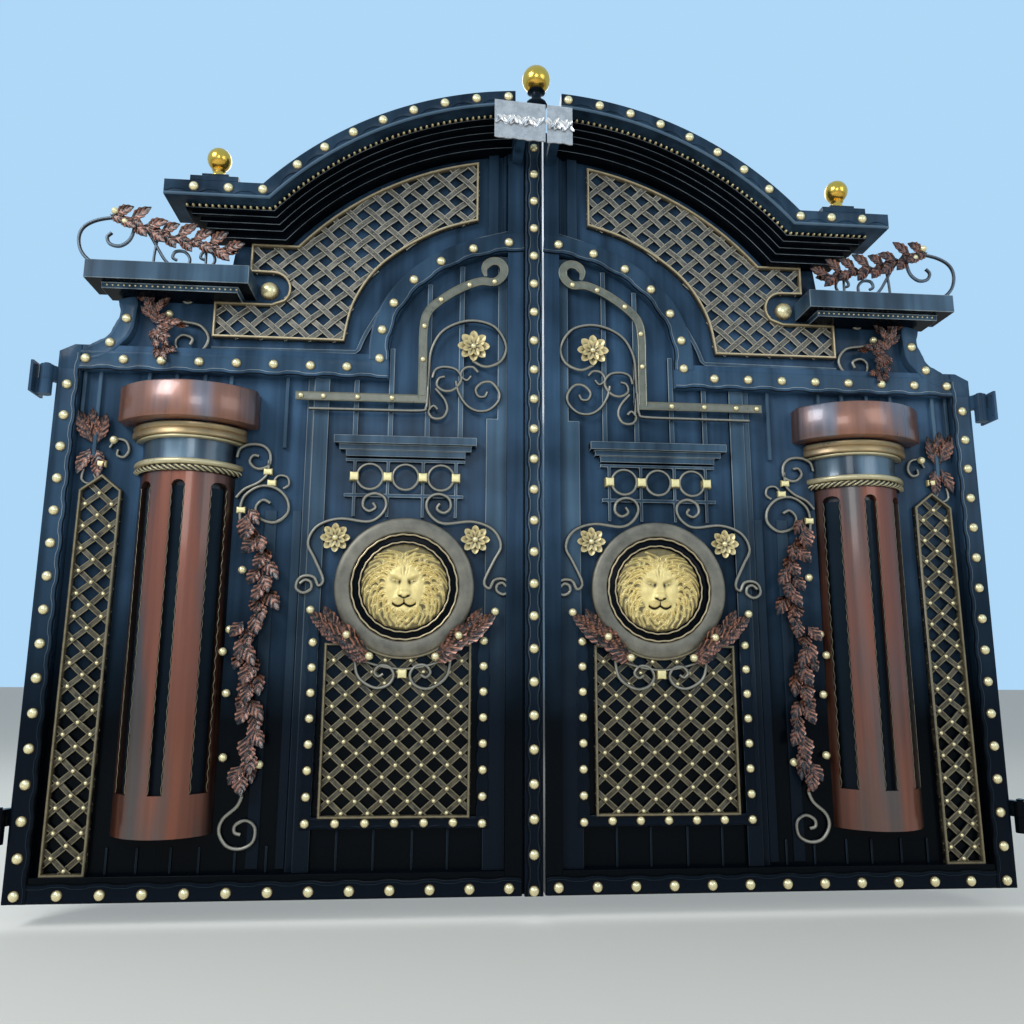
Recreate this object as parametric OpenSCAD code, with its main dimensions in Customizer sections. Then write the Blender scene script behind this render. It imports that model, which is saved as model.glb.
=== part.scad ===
// Double-leaf wrought iron driveway gate with arched cornice, columns and medallions.
// Each leaf is drawn once, x outwards from the meeting line, z up, -y towards the street,
// and the left one is its mirror image. Millimetres.

/* [Overall] */
// Width from hinge edge to hinge edge of the closed pair
pair_width = 3660; // [3610:10:3760]

/* [Frame] */
// Width of the studded border
border_width = 80; // [72:1:88]
// Depth of the stiles and rails
tube_depth = 73; // [60:1:80]
// Thickness of the back sheets
sheet_thickness = 3; // [2:0.5:6]
// How far the cornice's fascia stands out in front
fascia_depth = 178; // [150:2:190]

/* [Studs] */
// Radius of the brass studs
stud_radius = 18.5; // [12:0.5:22]
// Height of the brass studs
stud_height = 13; // [8:0.5:16]

/* [Lattice] */
// Distance between lattice crossings along x
lattice_pitch_x = 95; // [80:1:120]
// Distance between lattice crossings along z
lattice_pitch_z = 84; // [70:1:110]
// Width of the lattice bars
lattice_bar = 20; // [14:1:26]

/* [Columns] */
// Half of the shaft's width at the panel
shaft_half_width = 177; // [165:1:186]
// Width of the three slots
slot_width = 50; // [34:1:56]

/* [Medallion] */
// Outer radius of the medallion's ring
medallion_radius = 265; // [240:1:270]

/* [Hinges] */
// Radius of the hinge pins
pin_radius = 12; // [9:0.5:14]
// Radial clearance between pin and eye
pin_fit = 0.05; // [0.02:0.01:0.1]
// Radius of the wall plates' bolt holes
bolt_hole_radius = 6.5; // [4:0.5:8]

/* [Hidden] */
$fn = 48;

// depth levels, from the front of the border plates
y_plate = 0;
y_frame = 4;
y_panel = 44;
y_back = y_frame + tube_depth;
y_step = 24;
y_scroll = 10;
y_leaf = -2;
y_sheet_back = y_panel + sheet_thickness;

// leaf outline
half_width = pair_width / 2;
meet = 42;
stile_out = 106;
hinge_in = half_width - border_width;
rail_low_top = 85;
rail_top_z0 = 2005 - border_width;
rail_top_z1 = 2025;
corner_cut = [55, 30];
arch_z = 2048;
arch_in = [656 - border_width, 527 - border_width];
arch_out = [656, 527];
arch_mid = (arch_in + arch_out) / 2;
arch_foot = 1990;
hook_z = arch_z + arch_in[1];
shoulder_c = [half_width - corner_cut[0], 2168];
shoulder_r = 150;
shoulder_band = 72;
shelf_x = [1112, half_width - 107];
shelf_z = [2248, 2322];
shelf_depth = 115;

// cornice
bow_z = 1648;
bow_r = 1452;
eave_z = 2634;
eave_end = 1435;
inner_end = 93;
crown = bow_z + bow_r;
sheet_top_r = bow_r - 122;
opening_r = bow_r - 187;
opening_shelf_z = 2478;
stud_line = 28;
// how far each step lies below the top, how far it stands out and where it ends
layers = [[154, 22, 1279], [130, 46, 1303], [112, 66, 1323],
          [96, 92, 1349], [80, 112, 1369], [62, fascia_depth, eave_end]];

finial_radius = 60;
cap_x = 1250;
// levels of the cap's two steps
cap_z = [eave_z + 20, eave_z + 36];
eave_ball_r = 46;
eave_ball_z = eave_z + 121;

// hinges
axis_x = half_width + 32;
axis_y = -14;
plate_x = half_width + 60;
plate_thickness = 10;
plate_size = [100, 120];
plate_holes = [64, 84];
hinge_low_z = 257;
hinge_high_z = 1873;
barrel_radius = 24;
knuckle = 58;
thrust_gap = 0.1;
frame_shift = [plate_x + plate_thickness, -axis_y, -hinge_low_z];

// column
column_x = half_width - 502;
shaft_z = [218, 1519];
shaft_out = 115;
slot_z = [362, 1486];
slot_step = shaft_half_width - 43;
// z of the rope, torus, neck, collar and drum above the shaft
rope_z = shaft_z[1];
torus_z = rope_z + 24;
neck_z = torus_z + 24;
collar_z = neck_z + 86;
drum_z = collar_z + 59;
drum_top = drum_z + 140;
slot_depth = 24;

// inner panel and the lattice opening in it
panel_x = [187, 805];
opening_x_z = [238, 778, 271, 890];

// medallion
medal = [492, 1107];
medal_in = 200;
lion_r = 166;

medal_balls = [for (s = [-1, 1]) each [medal + [s * 344, -93], medal + [s * 122, -262],
  medal + (medallion_radius + 13) * [s * cos(41.5), -sin(41.5)]]];
// the vine's line, halfway between the inner panel and the column
vine_x = column_x - 273;
vine_balls = [for (p = [[43, 1162], [-1, 940], [75, 859], [73, 709], [70, 482], [-59, 457]])
  [vine_x + p[0], p[1]]];
// middle of the leaves that cross the border at the shoulder
cluster = shoulder_c - [285, 58];
scroll_feet = [[358, 1985], [228, 1809], [790, 1350], [194, 1350]];
bar_w = 20;
band_feet = [[910, 1846], [443, 2130], [180, 2346]];
// where the gold band and the rod under it rest on the upright bars
bar_feet = [[564, 1846], [700, 1846], [564, 1795], [700, 1795]];

ink = [0.03, 0.05, 0.08];
brass = [0.85, 0.68, 0.35];
copper = [0.42, 0.2, 0.14];
aged = [0.5, 0.46, 0.34];
silver = [0.8, 0.8, 0.82];

// drawing helpers

// points on an arc or ellipse about c
function arc(c, r, a0, a1, n) =
  [for (i = [0:n]) let (a = a0 + (a1 - a0) * i / n)
    [c[0] + (is_list(r) ? r[0] : r) * cos(a), c[1] + (is_list(r) ? r[1] : r) * sin(a)]];

// smooth curve through the points p, n steps between each two
function spline_at(a, b, c, d, t) =
  0.5 * (2 * b + (c - a) * t + (2 * a - 5 * b + 4 * c - d) * t * t
    + (3 * b - a - 3 * c + d) * t * t * t);
function smooth(p, n) = let (m = len(p) - 1) concat(
  [for (i = [0:m - 1], k = [0:n - 1])
    spline_at(p[max(i - 1, 0)], p[i], p[i + 1], p[min(i + 2, m)], k / n)], [p[m]]);

// line from a to b whose left side swells n times by h
function waved(a, b, n, h) = let (steps = n * 6, d = (b - a) / norm(b - a))
  [for (i = [0:steps]) let (t = i / steps, s = h * abs(sin(180 * n * t)))
    a + (b - a) * t + s * [-d[1], d[0]]];

// flat drawing in x and z made solid between two depths
module slab(y0, y1) {
  translate([0, y1, 0]) rotate([90, 0, 0]) linear_extrude(height = y1 - y0) children();
}

// sideways direction of a path at point i
function side(path, i) = let (d = path[min(i + 1, len(path) - 1)] - path[max(i - 1, 0)])
  [-d[1], d[0]] / norm(d);

// strip of width w along a path
module ribbon(path, w) {
  for (i = [0:len(path) - 2])
    let (a = side(path, i) * w / 2, b = side(path, i + 1) * w / 2)
      polygon([path[i] + a, path[i + 1] + b, path[i + 1] - b, path[i] - a]);
}

// one clean outline out of many overlapping ones
module joined() {
  offset(delta = 0.01) union() children();
}

module box_xz(x, z, y) {
  translate([x[0], y[0], z[0]]) cube([x[1] - x[0], y[1] - y[0], z[1] - z[0]]);
}

// domed head standing on the plane y
module dome(p, r, h, y) {
  ball = (r * r + h * h) / (2 * h);
  translate([p[0], y, p[1]]) rotate([90, 0, 0]) rotate_extrude($fn = 24)
    intersection() {
      translate([0, h - ball]) circle(r = ball, $fn = 48);
      square([r, h]);
    }
}

module ball_at(p, r, y) {
  translate([p[0], y, p[1]]) sphere(r = r, $fn = 24);
}

// pointed leaf outline from the origin along x
function leaf_edge(l, w, s) = [for (i = [0:8]) let (t = i / 8)
  [l * t, s * w / 2 * pow(sin(180 * pow(t, 0.8)), 0.8)]];
module leaf(p, a, l, w) {
  translate(p) rotate(a)
    polygon(concat(leaf_edge(l, w, 1), [for (i = [7:-1:1]) leaf_edge(l, w, -1)[i]]));
}

// angle at which the bow of radius r meets the level eave
function level(r) = eave_z - bow_r + r;
function mitre(r) = asin((level(r) - bow_z) / r);

module cornice_layer(r, end) {
  polygon(concat(
    arc([0, bow_z], r, acos(inner_end / r), mitre(r), 30),
    [[end, level(r)], [end, eave_z]],
    arc([0, bow_z], bow_r, mitre(bow_r), acos(inner_end / bow_r), 30)));
}

module upper_sheet() {
  edge = shoulder_c[0] + shoulder_r * cos(153);
  top = level(sheet_top_r);
  rise = top - shelf_z[1];
  color(ink) slab(y_panel, y_sheet_back)
    polygon(concat(
      [[arch_out[0], rail_top_z1]],
      arc([0, arch_z], arch_out, 0, acos(stile_out / arch_out[0]), 30),
      arc([0, bow_z], sheet_top_r, acos(stile_out / sheet_top_r), mitre(sheet_top_r), 24),
      [[1205, top], [1205, top - 0.17 * rise], [1215, top - 0.59 * rise], [1265, shelf_z[1]],
       [edge, shelf_z[1]]],
      arc(shoulder_c, shoulder_r, 153, 252.4, 16)));
}

module hinge_stile() {
  color(ink) union() {
    slab(y_frame, y_back)
      polygon([[hinge_in, 0], [half_width, 0], [half_width, rail_top_z1 - corner_cut[1]],
        [half_width - corner_cut[0], rail_top_z1], [hinge_in, rail_top_z1]]);
    for (z = [hinge_low_z, hinge_high_z]) eye(z);
  }
}

// upper half of a barrel with its lug to the stile
module eye(z) {
  z0 = z + thrust_gap / 2;
  difference() {
    translate([0, 0, z0]) linear_extrude(height = knuckle - thrust_gap / 2)
      union() {
        translate([axis_x, axis_y]) circle(r = barrel_radius);
        polygon([[half_width - 10, y_frame], [half_width - 10, y_panel],
          [half_width, y_panel], [axis_x, axis_y + barrel_radius - 2],
          [axis_x - barrel_radius + 2, axis_y], [half_width, y_frame]]);
      }
    translate([axis_x, axis_y, z]) cylinder(r = pin_radius + pin_fit, h = knuckle + 5);
  }
}

// wall plate, lower half of the barrel and pin
module wall_hinge(z) {
  arm = 30;
  color(ink) union() {
    difference() {
      translate([plate_x, axis_y - plate_size[0] / 2, z - plate_size[1] / 2])
        cube([plate_thickness, plate_size[0], plate_size[1]]);
      for (y = [-1, 1], h = [-1, 1])
        translate([plate_x - 1, axis_y + y * plate_holes[0] / 2, z + h * plate_holes[1] / 2])
          rotate([0, 90, 0]) cylinder(r = bolt_hole_radius, h = plate_thickness + 2, $fn = 32);
    }
    translate([axis_x, axis_y, z - knuckle])
      cylinder(r = barrel_radius, h = knuckle - thrust_gap / 2);
    translate([axis_x, axis_y - arm / 2, z - knuckle])
      cube([plate_x - axis_x + 1, arm, knuckle - thrust_gap / 2]);
    translate([axis_x, axis_y, z - knuckle / 2])
      cylinder(r = pin_radius, h = knuckle * 1.5 + 6);
  }
}

module meeting_stile() {
  color(ink) union() {
    box_xz([meet, stile_out], [0, crown - 200], [y_frame, y_back]);
    box_xz([meet, inner_end], [crown - 200, crown - 60], [y_frame, y_back]);
  }
}

module bottom_rail() {
  color(ink) box_xz([stile_out, hinge_in], [0, rail_low_top], [y_frame, y_back]);
}

module top_rail() {
  color(ink) box_xz([arch_in[0], hinge_in], [rail_top_z0, rail_top_z1], [y_frame, y_back]);
}

module arch_rail() {
  color(ink) slab(y_frame, y_back)
    difference() {
      polygon(concat([[arch_out[0], rail_top_z1]],
        arc([0, arch_z], arch_out, 0, acos(stile_out / arch_out[0]), 30),
        arc([0, arch_z], arch_in, acos(stile_out / arch_in[0]), 0, 30),
        [[arch_in[0], rail_top_z1]]));
    }
}

module lower_sheet() {
  color(ink) slab(y_panel, y_sheet_back)
    polygon(concat(
      [[stile_out, rail_low_top], [hinge_in, rail_low_top], [hinge_in, rail_top_z0],
       [arch_in[0], rail_top_z0]],
      arc([0, arch_z], arch_in, 0, acos(stile_out / arch_in[0]), 30)));
}

module border_bands() {
  h = 6;
  color(ink) slab(y_plate, y_frame) joined() {
    // bottom
    polygon(concat([[meet, 0], [half_width, 0]],
      waved([half_width, 60], [meet, 60], 26, -h)));
    // hinge side
    polygon(concat([[half_width, 0], [half_width, rail_top_z1 - corner_cut[1]],
      [half_width - corner_cut[0], rail_top_z1 - 6], [hinge_in, rail_top_z1 - 6]],
      waved([hinge_in, rail_top_z1 - 6], [hinge_in, 0], 16, h)));
    // top
    polygon(concat([[hinge_in + 10, 2003], [arch_in[0], 2003]],
      waved([arch_in[0], rail_top_z0 + 3], [hinge_in + 10, rail_top_z0 + 3], 8, -3)));
    // arch
    polygon(concat([[arch_out[0], arch_foot], [arch_out[0], arch_z]],
      arc([0, arch_z], arch_out, 0, acos(meet / arch_out[0]), 30),
      arc([0, arch_z], arch_in, acos(meet / arch_in[0]), 0, 30),
      [[arch_in[0], arch_foot]]));
  }
  color(ink) slab(y_step - 4, y_step) stud_border();
  // shoulder band with its own frame strip
  color(ink) slab(y_plate, y_panel)
    polygon(concat(
      arc(shoulder_c, shoulder_r, 252.4, 159, 16),
      arc(shoulder_c, shoulder_r + shoulder_band, 166, 220, 12)));
}

// scalloped plate round the lower lattice
module stud_border() {
  x0 = 163;
  x1 = 850;
  z0 = 228;
  joined() difference() {
    polygon(concat(waved([x0, 990], [x0, z0], 8, -6), waved([x0, z0], [x1, z0], 7, -6),
      waved([x1, z0], [x1, 990], 8, -6)));
    translate([opening_x_z[0], opening_x_z[2]])
      square([opening_x_z[1] - opening_x_z[0], 1000]);
  }
}

// height of the arch's inner edge over x, less a small clearance
function field_top(x) = arch_z + arch_in[1] * sqrt(1 - pow(x / arch_in[0], 2)) - 3;

module mouldings() {
  color(ink) union() {
    // stepped side mouldings of the inner panel
    box_xz([stile_out, panel_x[0]], [rail_low_top, 1780], [y_step, y_panel]);
    box_xz([stile_out, 143], [1780, hook_z - 20], [y_step, y_panel]);
    box_xz([panel_x[1], 864], [rail_low_top, rail_top_z0], [y_step, y_panel]);
    box_xz([864, 890], [rail_low_top, rail_top_z0], [34, y_panel]);
    // ribs of the plain panel
    for (x = [313, 441, 580, 712]) box_xz([x - 4, x + 4], [rail_low_top, 228], [36, y_panel]);
    for (x = [957, 1066, 1191, 1289, 1405, 1509])
      box_xz([x - 4, x + 4], [rail_low_top, 175], [36, y_panel]);
    for (x = [969, 1186, 1287, 1394, 1497, 1679])
      box_xz([x - 5, x + 5], [1880, rail_top_z0], [30, y_panel]);
    // foot of the stud border
    box_xz([panel_x[0], panel_x[1]], [232, opening_x_z[2]], [y_step, y_panel]);
    // frieze shelf
    box_xz([225, 777], [1658, 1690], [-10, y_panel]);
    box_xz([245, 757], [1636, 1658], [8, y_panel]);
    box_xz([268, 732], [1612, 1636], [16, y_panel]);
    box_xz([268, 732], [1593, 1605], [y_step, y_panel]);
    box_xz([274, 735], [1452, 1466], [y_step, y_panel]);
    // bars of the ring frieze and above it
    for (x = [304, 432, 568, 696]) {
      box_xz([x - 6, x + 6], [1466, 1593], [y_step, y_panel]);
      box_xz([x - 6, x + 6], [1375, 1452], [y_step, y_panel]);
    }
    // bars that run up behind the gold band to the arch or the top rail
    for (b = [[290, field_top(302)], [420, field_top(432)], [564, rail_top_z0 + 135],
              [700, rail_top_z0]])
      box_xz([b[0] - bar_w / 2, b[0] + bar_w / 2], [1690, b[1]], [y_step, y_panel]);
  }
}

module studs() {
  r = stud_radius;
  color(brass) union() {
    edge = half_width - border_width / 2;
    for (i = [0:15]) dome([edge, 27 + i * 122.3], r, stud_height, y_plate);
    for (i = [0:11]) dome([90 + i * (edge - 90) / 12, 27], r, stud_height, y_plate);
    for (i = [0:7]) dome([740 + i * 141.7, 1968], r, stud_height, y_plate);
    for (s = [-4.8:14.2:81])
      dome([arch_mid[0] * cos(s), arch_z + arch_mid[1] * sin(s)], r, stud_height, y_plate);
    for (a = [190, 226])
      dome(shoulder_c + 185 * [cos(a), sin(a)], r, stud_height, y_plate);
    // border of the lower lattice
    for (i = [0:7]) dome([825, 251 + i * 92], r - 3, stud_height - 2, y_step - 4);
    for (i = [0:7]) dome([188, 247 + i * 94], r - 3, stud_height - 2, y_step - 4);
    for (i = [1:5]) dome([188 + i * 106, 251], r - 3, stud_height - 2, y_step - 4);
    // fascia
    line = bow_r - stud_line;
    corner = line * cos(mitre(line));
    for (a = [4.9:5.2:84 - mitre(line)])
      dome([line * sin(a), bow_z + line * cos(a)], r, stud_height, -fascia_depth);
    for (i = [0:2])
      dome([corner + 11 + i * (eave_end - 123 - corner) / 2, level(line)], r, stud_height,
        -fascia_depth);
    // ball on the eave's cap
    ball_at([cap_x, eave_ball_z], eave_ball_r, -120);
    translate([cap_x, -120, cap_z[1]]) cylinder(r = 18, h = eave_ball_z - cap_z[1]);
  }
}

// crossing bars clipped to an outline, on a rim that stands on the panel
module lattice(x, z) {
  slope = atan2(lattice_pitch_z, lattice_pitch_x);
  span = (x[1] - x[0]) + (z[1] - z[0]) * lattice_pitch_x / lattice_pitch_z;
  n = ceil(span / lattice_pitch_x);
  slab(y_step, y_step + 10) joined() offset(delta = -0.03) {
    intersection() {
      for (i = [0:n], s = [-1, 1])
        translate([s > 0 ? x[1] - i * lattice_pitch_x : x[0] + i * lattice_pitch_x, z[0]])
          rotate(s * slope) translate([-4000, -lattice_bar / 2]) square([8000, lattice_bar]);
      children();
    }
    rim() children();
  }
  slab(y_step + 10, y_panel) rim() children();
}

module rim() {
  difference() {
    offset(delta = -0.02) children();
    offset(delta = -14) children();
  }
}

module upper_opening() {
  intersection() {
    polygon(concat(
      [[1268, 2085], [1268, 2225], [1049, 2225]],
      arc([1049, 2293], 69, 270, 90, 12),
      [[1137, 2363], [1137, crown], [232, crown], [232, 2632]],
      smooth([[240, 2631], [385, 2581], [538, 2488], [650, 2383], [729, 2240], [760, 2085]], 4)));
    union() {
      translate([0, bow_z]) circle(r = opening_r, $fn = 128);
      translate([200, 2000]) square([1200, opening_shelf_z - 2000]);
    }
  }
}

module upper_lattice() {
  color(aged) union() lattice([232, 1268], [2085, crown - 195]) upper_opening();
}

module side_opening() {
  translate([hinge_in, 0])
    polygon([[-176, rail_low_top + 1], [-30, rail_low_top + 1], [-38, 1455], [-113, 1513],
      [-185, 1455]]);
}

module side_lattice() {
  color(aged) union()
    lattice([hinge_in - 185, hinge_in - 30], [rail_low_top + 1, 1513]) side_opening();
}

module lower_opening() {
  difference() {
    translate([opening_x_z[0], opening_x_z[2]])
      square([opening_x_z[1] - opening_x_z[0], opening_x_z[3] - opening_x_z[2]]);
    translate(medal) circle(r = medallion_radius + 1, $fn = 96);
  }
}

module lower_lattice() {
  color(aged) union() lattice([238, 778], [271, 890]) lower_opening();
}

// segment of a circle whose chord lies on straight cheeks that stand on the panel
module segment(w, out, cheek) {
  rise = out - cheek;
  half = w + 0.5;
  r = (half * half + rise * rise) / (2 * rise);
  intersection() {
    translate([column_x, y_panel - out + r]) circle(r = r, $fn = 96);
    translate([column_x - w, y_panel - 400]) square([2 * w, 400 - cheek]);
  }
  if (cheek > 0) translate([column_x - w, y_panel - cheek]) square([2 * w, cheek]);
}

module drum(w, out, z0, z1, cheek = 0) {
  translate([0, 0, z0]) linear_extrude(height = z1 - z0) segment(w, out, cheek);
}

module column_shaft() {
  w = shaft_half_width;
  color(copper) difference() {
    drum(w, shaft_out, shaft_z[0], shaft_z[1]);
    for (s = [-1, 0, 1])
      difference() {
        translate([column_x + s * slot_step - slot_width / 2, -200, slot_z[0]])
          cube([slot_width, 400, slot_z[1] - slot_z[0]]);
        drum(w - slot_depth, shaft_out - slot_depth, slot_z[0] - 5, slot_z[1] + 5);
      }
  }
}

module capital() {
  color(copper) union() {
    w = shaft_half_width;
    drum(w + 22, shaft_out + 15, rope_z, torus_z);
    drum(w + 28, shaft_out + 21, torus_z, neck_z);
    drum(w, shaft_out, neck_z, collar_z);
    drum(w + 36, shaft_out + 24, collar_z, drum_z - 8, 20);
    drum(w + 26, shaft_out + 15, drum_z - 8, drum_z);
    drum(w + 79, shaft_out + 68, drum_z, drum_top, 60);
  }
}

module medallion() {
  profile = [[medal_in - 28, 0], [medallion_radius, 0], [medallion_radius, 22],
    [medallion_radius - 8, 34], [medal_in + 6, 34], [medal_in, 46],
    [medal_in - 14, 46], [medal_in - 22, 36], [medal_in - 28, 20]];
  color(aged) translate([medal[0], y_panel, medal[1]]) rotate([90, 0, 0])
    rotate_extrude($fn = 96) polygon(profile);
}

module lion_mask() {
  rim = medal_in - 28;
  color(brass) union() {
    translate([medal[0], y_panel, medal[1]]) rotate([90, 0, 0]) cylinder(r = rim, h = 12);
    dome(medal, lion_r, 40, y_panel - 11);
    ball_at(medal + [0, -30], 44, -10);
  }
}

module cornice() {
  color(ink) union() {
    for (l = layers) slab(-l[1], y_panel) cornice_layer(bow_r - l[0], l[2]);
    box_xz([cap_x - 90, cap_x + 90], [eave_z, cap_z[0]], [-fascia_depth, -60]);
    box_xz([cap_x - 50, cap_x + 50], cap_z, [-fascia_depth + 10, -70]);
  }
}

module shelf() {
  color(ink) union() {
    box_xz(shelf_x, shelf_z, [-shelf_depth, y_panel]);
    box_xz([shelf_x[0] + 48, shelf_x[1] - 53], [shelf_z[0] - 23, shelf_z[0]], [-75, y_panel]);
  }
}

module scrollwork() {
  color(ink) slab(y_scroll, y_step) joined() {
    // S scrolls beside the medallion and the double scroll under it
    for (s = [-1, 1]) translate([medal[0], 0]) mirror([s > 0 ? 0 : 1, 0]) {
      ribbon(smooth([[376, 1123], [347, 1088], [298, 1131], [340, 1210], [365, 1260],
        [314, 1340], [244, 1365], [146, 1360], [90, 1390], [90, 1435], [150, 1445],
        [178, 1410], [150, 1390]], 3), 12);
      ribbon(smooth([[178, 826], [144, 751], [80, 726], [31, 764], [58, 804], [98, 800],
        [95, 776]], 3), 12);
      translate([178, 826]) circle(r = 12, $fn = 16);
      ribbon([[0, 755], [0, 812]], 24);
    }
    for (p = medal_balls) translate(p) circle(r = 10, $fn = 16);
    ribbon([[medal[0] - 178, 826], [medal[0], 800], [medal[0] + 178, 826]], 8);
    // rings of the frieze
    for (x = [362, 499, 636]) translate([x, 1531]) difference() {
      circle(r = 55);
      circle(r = 43);
    }
    for (x = [304, 432, 568, 696]) translate([x - 14, 1511]) square([28, 40]);
    // scroll round the top rosette
    ribbon(smooth([[411, 1812], [416, 1963], [409, 2058], [361, 2141], [263, 2184],
      [163, 2165], [116, 2086], [131, 2021], [192, 1990]], 3), 12);
    ribbon(smooth([[403, 1939], [358, 1985], [283, 1960], [288, 1857], [228, 1807],
      [160, 1821], [138, 1885], [168, 1928], [221, 1922], [232, 1882]], 3), 12);
  }
  color(ink) slab(y_step, y_panel) joined() {
    // scrolls on both sides of the column
    translate([vine_x, 0]) {
      ribbon(smooth([[75, 1576], [33, 1618], [-10, 1636], [-45, 1606], [-53, 1538],
        [-53, 1487], [-104, 1415], [-65, 1372], [5, 1380], [15, 1430], [-28, 1440]], 3), 12);
      ribbon(smooth([[37, 330], [-55, 290], [-55, 205], [5, 182], [60, 210], [25, 255],
        [-15, 236]], 3), 12);
    }
    translate([hinge_in, 0])
      ribbon(smooth([[-188, 1648], [-160, 1656], [-138, 1622], [-158, 1584], [-188, 1592]],
        3), 12);
    // stem over the shoulder
    translate(cluster)
      ribbon(smooth([[-116, 105], [-150, 80], [-212, -10], [-172, -68], [-105, -54],
        [-120, -20]], 3), 12);
  }
  // feet of the front scrolls
  color(ink) slab(y_step, y_panel) for (p = scroll_feet) translate(p) circle(r = 5, $fn = 12);
}

module shelf_scroll() {
  color(ink) slab(-40, -28) joined() translate([shelf_x[1], shelf_z[1]]) {
    ribbon(smooth([[-393, 8], [-263, 25], [-123, 8], [17, 25], [62, 108], [7, 193],
      [-69, 215], [-123, 158], [-72, 98], [-31, 129]], 3), 12);
    ribbon([[-63, 208], [-233, 158], [-423, 118], [-513, 78]], 12);
    ribbon(smooth([[-178, 172], [-227, 44], [-277, 68], [-274, 105], [-236, 95]], 3), 10);
    ribbon([[-223, 0.01], [-223, 28]], 12);
    ribbon([[-423, 0.01], [-423, 118]], 12);
  }
}

module leaves() {
  // vine beside the column
  color(copper) slab(30, y_panel) joined() {
    translate([vine_x, 0]) {
      for (i = [0:9]) let (z = 400 + i * 92, x = 22 * sin(i * 70)) {
        leaf([x, z], 60, 100, 54);
        leaf([x, z + 30], 125, 100, 50);
      }
      ribbon(smooth([[37, 345], [-10, 450], [-20, 600], [10, 750], [15, 900], [-25, 1100],
        [-15, 1250], [20, 1350]], 4), 12);
    }
    for (p = vine_balls) {
      translate(p) circle(r = 12, $fn = 16);
      ribbon([p, [vine_x, p[1] - 40]], 10);
    }
    // beside the side lattice's head
    for (a = [60, 110, 290]) leaf([hinge_in - 82, 1645], a, 84, 46);
  }
  // under the medallion, in front of its ring and scrolls
  color(copper) slab(y_leaf, y_scroll) joined() difference() {
    for (s = [-1, 1]) translate([medal[0], 0]) mirror([s > 0 ? 0 : 1, 0]) {
      leaf([140, 868], 28, 130, 56);
      leaf([190, 905], 36, 140, 60);
      leaf([250, 950], 50, 90, 54);
    }
    for (p = medal_balls) translate(p) circle(r = 15, $fn = 16);
    translate(medal) circle(r = medal_in + 8);
  }
  // shoulder cluster over the border
  color(copper) slab(y_leaf - 8, y_plate) joined()
    for (a = [70, 110, 150, 190, 235, 275]) leaf(cluster, a, a > 200 ? 140 : 105, 58);
  color(copper) slab(y_plate, y_panel) translate(cluster) circle(r = 9, $fn = 16);
}

module gold_band() {
  color(aged) slab(0, y_scroll) joined() {
    ribbon([[933, 1846], [426, 1846]], 34);
    ribbon(concat([[443, 1846]],
      smooth([[443, 2170], [400, 2250], [300, 2320], [165, hook_z - 145], [130, hook_z - 95],
        [156, hook_z - 49], [202, hook_z - 59], [196, hook_z - 85]], 5)), 34);
    ribbon([[880, 1795], [443, 1795]], 14);
  }
  color(aged) slab(y_scroll, y_panel) for (p = band_feet) translate(p) circle(r = 8, $fn = 16);
  color(aged) slab(y_scroll, y_step) for (p = bar_feet) translate(p) circle(r = 6, $fn = 16);
}

module rosettes() {
  color(brass) union() {
    for (p = [[758, 1289], [226, 1290], [242, 2075]]) {
      slab(y_scroll, y_step) joined()
        for (a = [0:45:315]) leaf(p, a, p[1] > arch_z ? 60 : 50, 34);
      dome(p, 16, 12, y_scroll);
      slab(y_step, y_panel) translate(p) circle(r = 14);
    }
    dome([1063, 2289], 35, 24, y_panel);
    for (p = medal_balls) ball_at(p, 14, y_scroll - 14);
    for (p = vine_balls) ball_at(p, 14, 16);
  }
}

module centre_strip() {
  color(ink) union() {
    box_xz([-34, 34], [0, crown - 20], [-6, y_panel]);
    box_xz([-meet, -34], [0, crown - 60], [30, y_panel]);
    for (z = [stud_radius:122.6:crown - 138]) dome([0, z], stud_radius, stud_height, -6);
  }
}

module ball_finial() {
  color(brass) translate([9, -14, crown - 20]) union() {
    cylinder(r = 30, h = 60);
    translate([0, 0, 60]) cylinder(r = 46, h = 20);
    translate([0, 0, 80]) cylinder(r = 24, h = 60);
    translate([0, 0, 134 + finial_radius]) sphere(r = finial_radius);
  }
}

module plaque(x0, x1) {
  difference() {
    slab(-fascia_depth - 6, -fascia_depth)
      polygon([[-177, crown - 50], [137, crown - 70], [137, crown - 235], [-177, crown - 217]]);
    translate([x1, -300, crown - 400]) cube([400, 300, 500]);
    translate([x0 - 400, -300, crown - 400]) cube([400, 300, 500]);
  }
}

module plaque_left() {
  color(silver) union() {
    plaque(-177, 28);
    box_xz([-88, -50], [crown - 210, crown - 170], [-fascia_depth, y_frame]);
  }
}

module plaque_right() {
  color(silver) union() {
    plaque(34, 137);
    box_xz([50, 88], [crown - 210, crown - 170], [-fascia_depth, y_frame]);
  }
}

module right() {
  translate(frame_shift) children();
}

module left() {
  translate(frame_shift) mirror([1, 0, 0]) children();
}

left() wall_hinge(hinge_low_z);  // left_wall_lower
left() wall_hinge(hinge_high_z);  // left_wall_upper
right() wall_hinge(hinge_low_z);  // right_wall_lower
right() wall_hinge(hinge_high_z);  // right_wall_upper
left() hinge_stile();  // left_hinge_stile
left() meeting_stile();  // left_meeting_stile
left() bottom_rail();  // left_bottom_rail
left() top_rail();  // left_top_rail
left() arch_rail();  // left_arch_rail
left() lower_sheet();  // left_lower_sheet
left() upper_sheet();  // left_upper_sheet
left() mouldings();  // left_mouldings
left() border_bands();  // left_border_bands
left() studs();  // left_studs
left() upper_lattice();  // left_upper_lattice
left() side_lattice();  // left_side_lattice
left() lower_lattice();  // left_lower_lattice
left() column_shaft();  // left_column_shaft
left() capital();  // left_capital
left() medallion();  // left_medallion
left() lion_mask();  // left_lion_mask
left() cornice();  // left_cornice
left() shelf();  // left_shelf
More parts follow.
